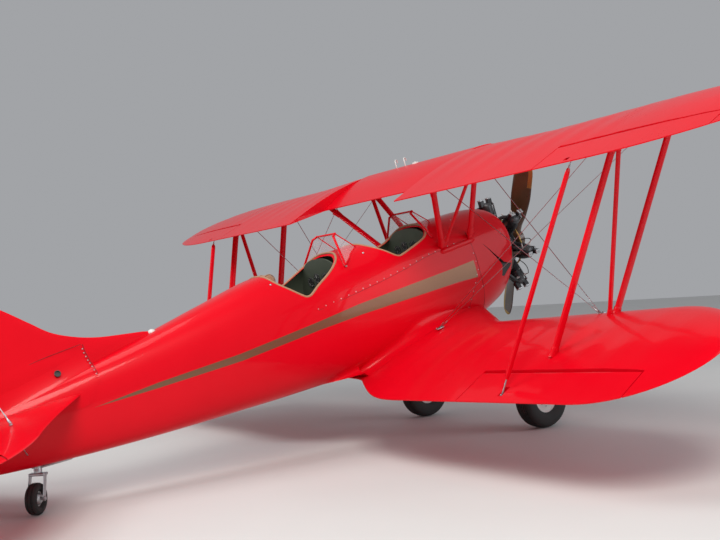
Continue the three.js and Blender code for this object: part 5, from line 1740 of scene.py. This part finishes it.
def makeTailGear():
    spin, swivel = jointPlaces["tail_wheel_spin"], jointPlaces["tail_swivel"]
    aim = atan2(spin.y - swivel.y, spin.x - swivel.x) + pi
    turn = Matrix.Translation(spin) @ Matrix.Rotation(aim, 4, "Z")
    r, w = wheels["tail"]["radius"] - .0004, wheels["tail"]["half"]
    tyre = mirrored([(-w * .5, .062), (-w * .85, .070), (-w, .080), (-w, r - .028), (-w * .93, r - .016),
            (-w * .72, r - .006), (-w * .42, r - .001), (-w * .36, r - .006), (-w * .30, r - .006),
            (-w * .26, r)])
    tyre += [(w * .5, .056), (-w * .5, .056), (-w * .5, .062)]
    hub = mirrored([(-w * .9, .011), (-w * .9, .030), (-w * .8, .036), (-w * .45, .046), (-w * .45, .0565)])
    hub.append(hub[0])
    wheel = joinAll([dress(turned("tyre", tyre, 72, (0, 0, 0), (0, 1, 0), 30, False), "rubber"),
            dress(turned("hub", hub, 48, (0, 0, 0), (0, 1, 0), 30, False), "aluminium")], "tail_wheel_tyre")
    wheel.data.transform(turn)
    onBody(settle(wheel), "tail_wheel", "rubber", "tail_wheel")
    parts = []
    for n in (-1, 1):
        cheek = ovalBar("cheek", (0, n * .062, -.020), (.060, n * .058, .178), .050, .011,
                ((0, .35), (.03, .7), (.08, .95), (.15, 1), (.85, 1.05), (1, 1.2)), 24)
        boss = turned("boss", [(0, .019), (.004, .019), (.006, .016), (.009, .016), (.009, .011),
                (.013, .009)], 20, (0, n * .0665, 0), (0, n, 0))
        parts += [cheek, boss]
    crown = bevelBox((.034, -.066, .161), (.096, .066, .183), 0.006)
    axle = turned("axle", [(-.068, .010), (.068, .010)], 20, (0, 0, 0), (0, 1, 0))
    pin = turned("pin", [(.175, .015), (.212, .015)], 24, (.066, 0, 0), (0, 0, 1))
    fork = dress(joinAll(parts + [crown, axle, pin], "tail_fork_forged"), "steel")
    fork.data.transform(turn)
    onBody(settle(cleanUp(fork, 40)), "tail_fork", "steel", "tail_fork")
    foot = swivel.z
    housing = turned("housing", [(.0034, .0158), (.0034, .028), (.006, .031), (.030, .031), (.034, .029),
            (.052, .029), (.056, .031), (.068, .031), (.072, .026), (.072, .004), (.034, .004), (.034, .0158),
            (.0034, .0158)], 40, (swivel.x, 0, foot), (0, 0, 1), 35, False)
    nipple = turned("nipple", [(0, .005), (.012, .005), (.014, .003)], 8,
            (swivel.x - .030, 0, foot + .045), (-1, 0, 0))
    parts = [housing, nipple]
    leaf = ovalBar("leaf", (swivel.x, 0, foot + .042), (swivel.x + .260, 0, .372), .024, .056,
            ((0, .7), (.06, .9), (.5, 1), (1, 1)), 28)
    post = ovalBar("post", (swivel.x + .010, 0, foot + .050), (swivel.x + .090, 0, .420), .060, .040,
            ((0, .8), (.1, 1), (.5, 1.05), (1, 1.2)), 28, .2)
    spring = dress(joinAll(parts + [leaf, post], "tail_spring_leaves"), "steel")
    onBody(settle(cleanUp(spring, 40)), "airframe", "steel", "tail_spring")


for hand, side in sides:
    makeGearLeg(hand, side)
    makeMainWheel(hand, side)
makeTailGear()
print("stage: gear made")


# the studio
studio = {
    "floor": 30, "floorColor": (0.62, 0.62, 0.61), "sky": (0.86, 0.88, 0.92, 1), "skyStrength": 0.42,
    "lamps": [("key", (-5, -9, 9), 1150, 5, (1, 0.97, 0.92)), ("fill", (8, -9, 4), 260, 6, (0.90, 0.94, 1)),
        ("top", (-4, 1, 10), 420, 6, (1, 1, 1)), ("back", (-9, 8, 5), 160, 5, (1, 1, 1))],
}


def makeStudio():
    deselectAll()
    bpy.ops.mesh.primitive_plane_add(size=studio["floor"] * 2, location=(0, 0, -0.001))
    floor = settle(freshActive("floor"))
    floor.data.materials.append(plainFinish("studio_floor", studio["floorColor"],
            (0.66, 0.66, 0.65), 0.8, 0.7))
    world = bpy.data.worlds.new("studio")
    bpy.context.scene.world = world
    world.use_nodes = True
    sky = world.node_tree.nodes["Background"].inputs
    sky[0].default_value = studio["sky"]
    sky[1].default_value = studio["skyStrength"]
    for name, place, power, size, color in studio["lamps"]:
        data = bpy.data.lights.new(name, "AREA")
        data.energy, data.size, data.color = power, size, color
        lamp = bpy.data.objects.new(name, data)
        bpy.context.scene.collection.objects.link(lamp)
        lamp.matrix_world = Matrix.Translation(place) @ (-Vector(place)).to_track_quat("-Z",
                "Y").to_matrix().to_4x4()


makeStudio()
print("stage: studio lit")
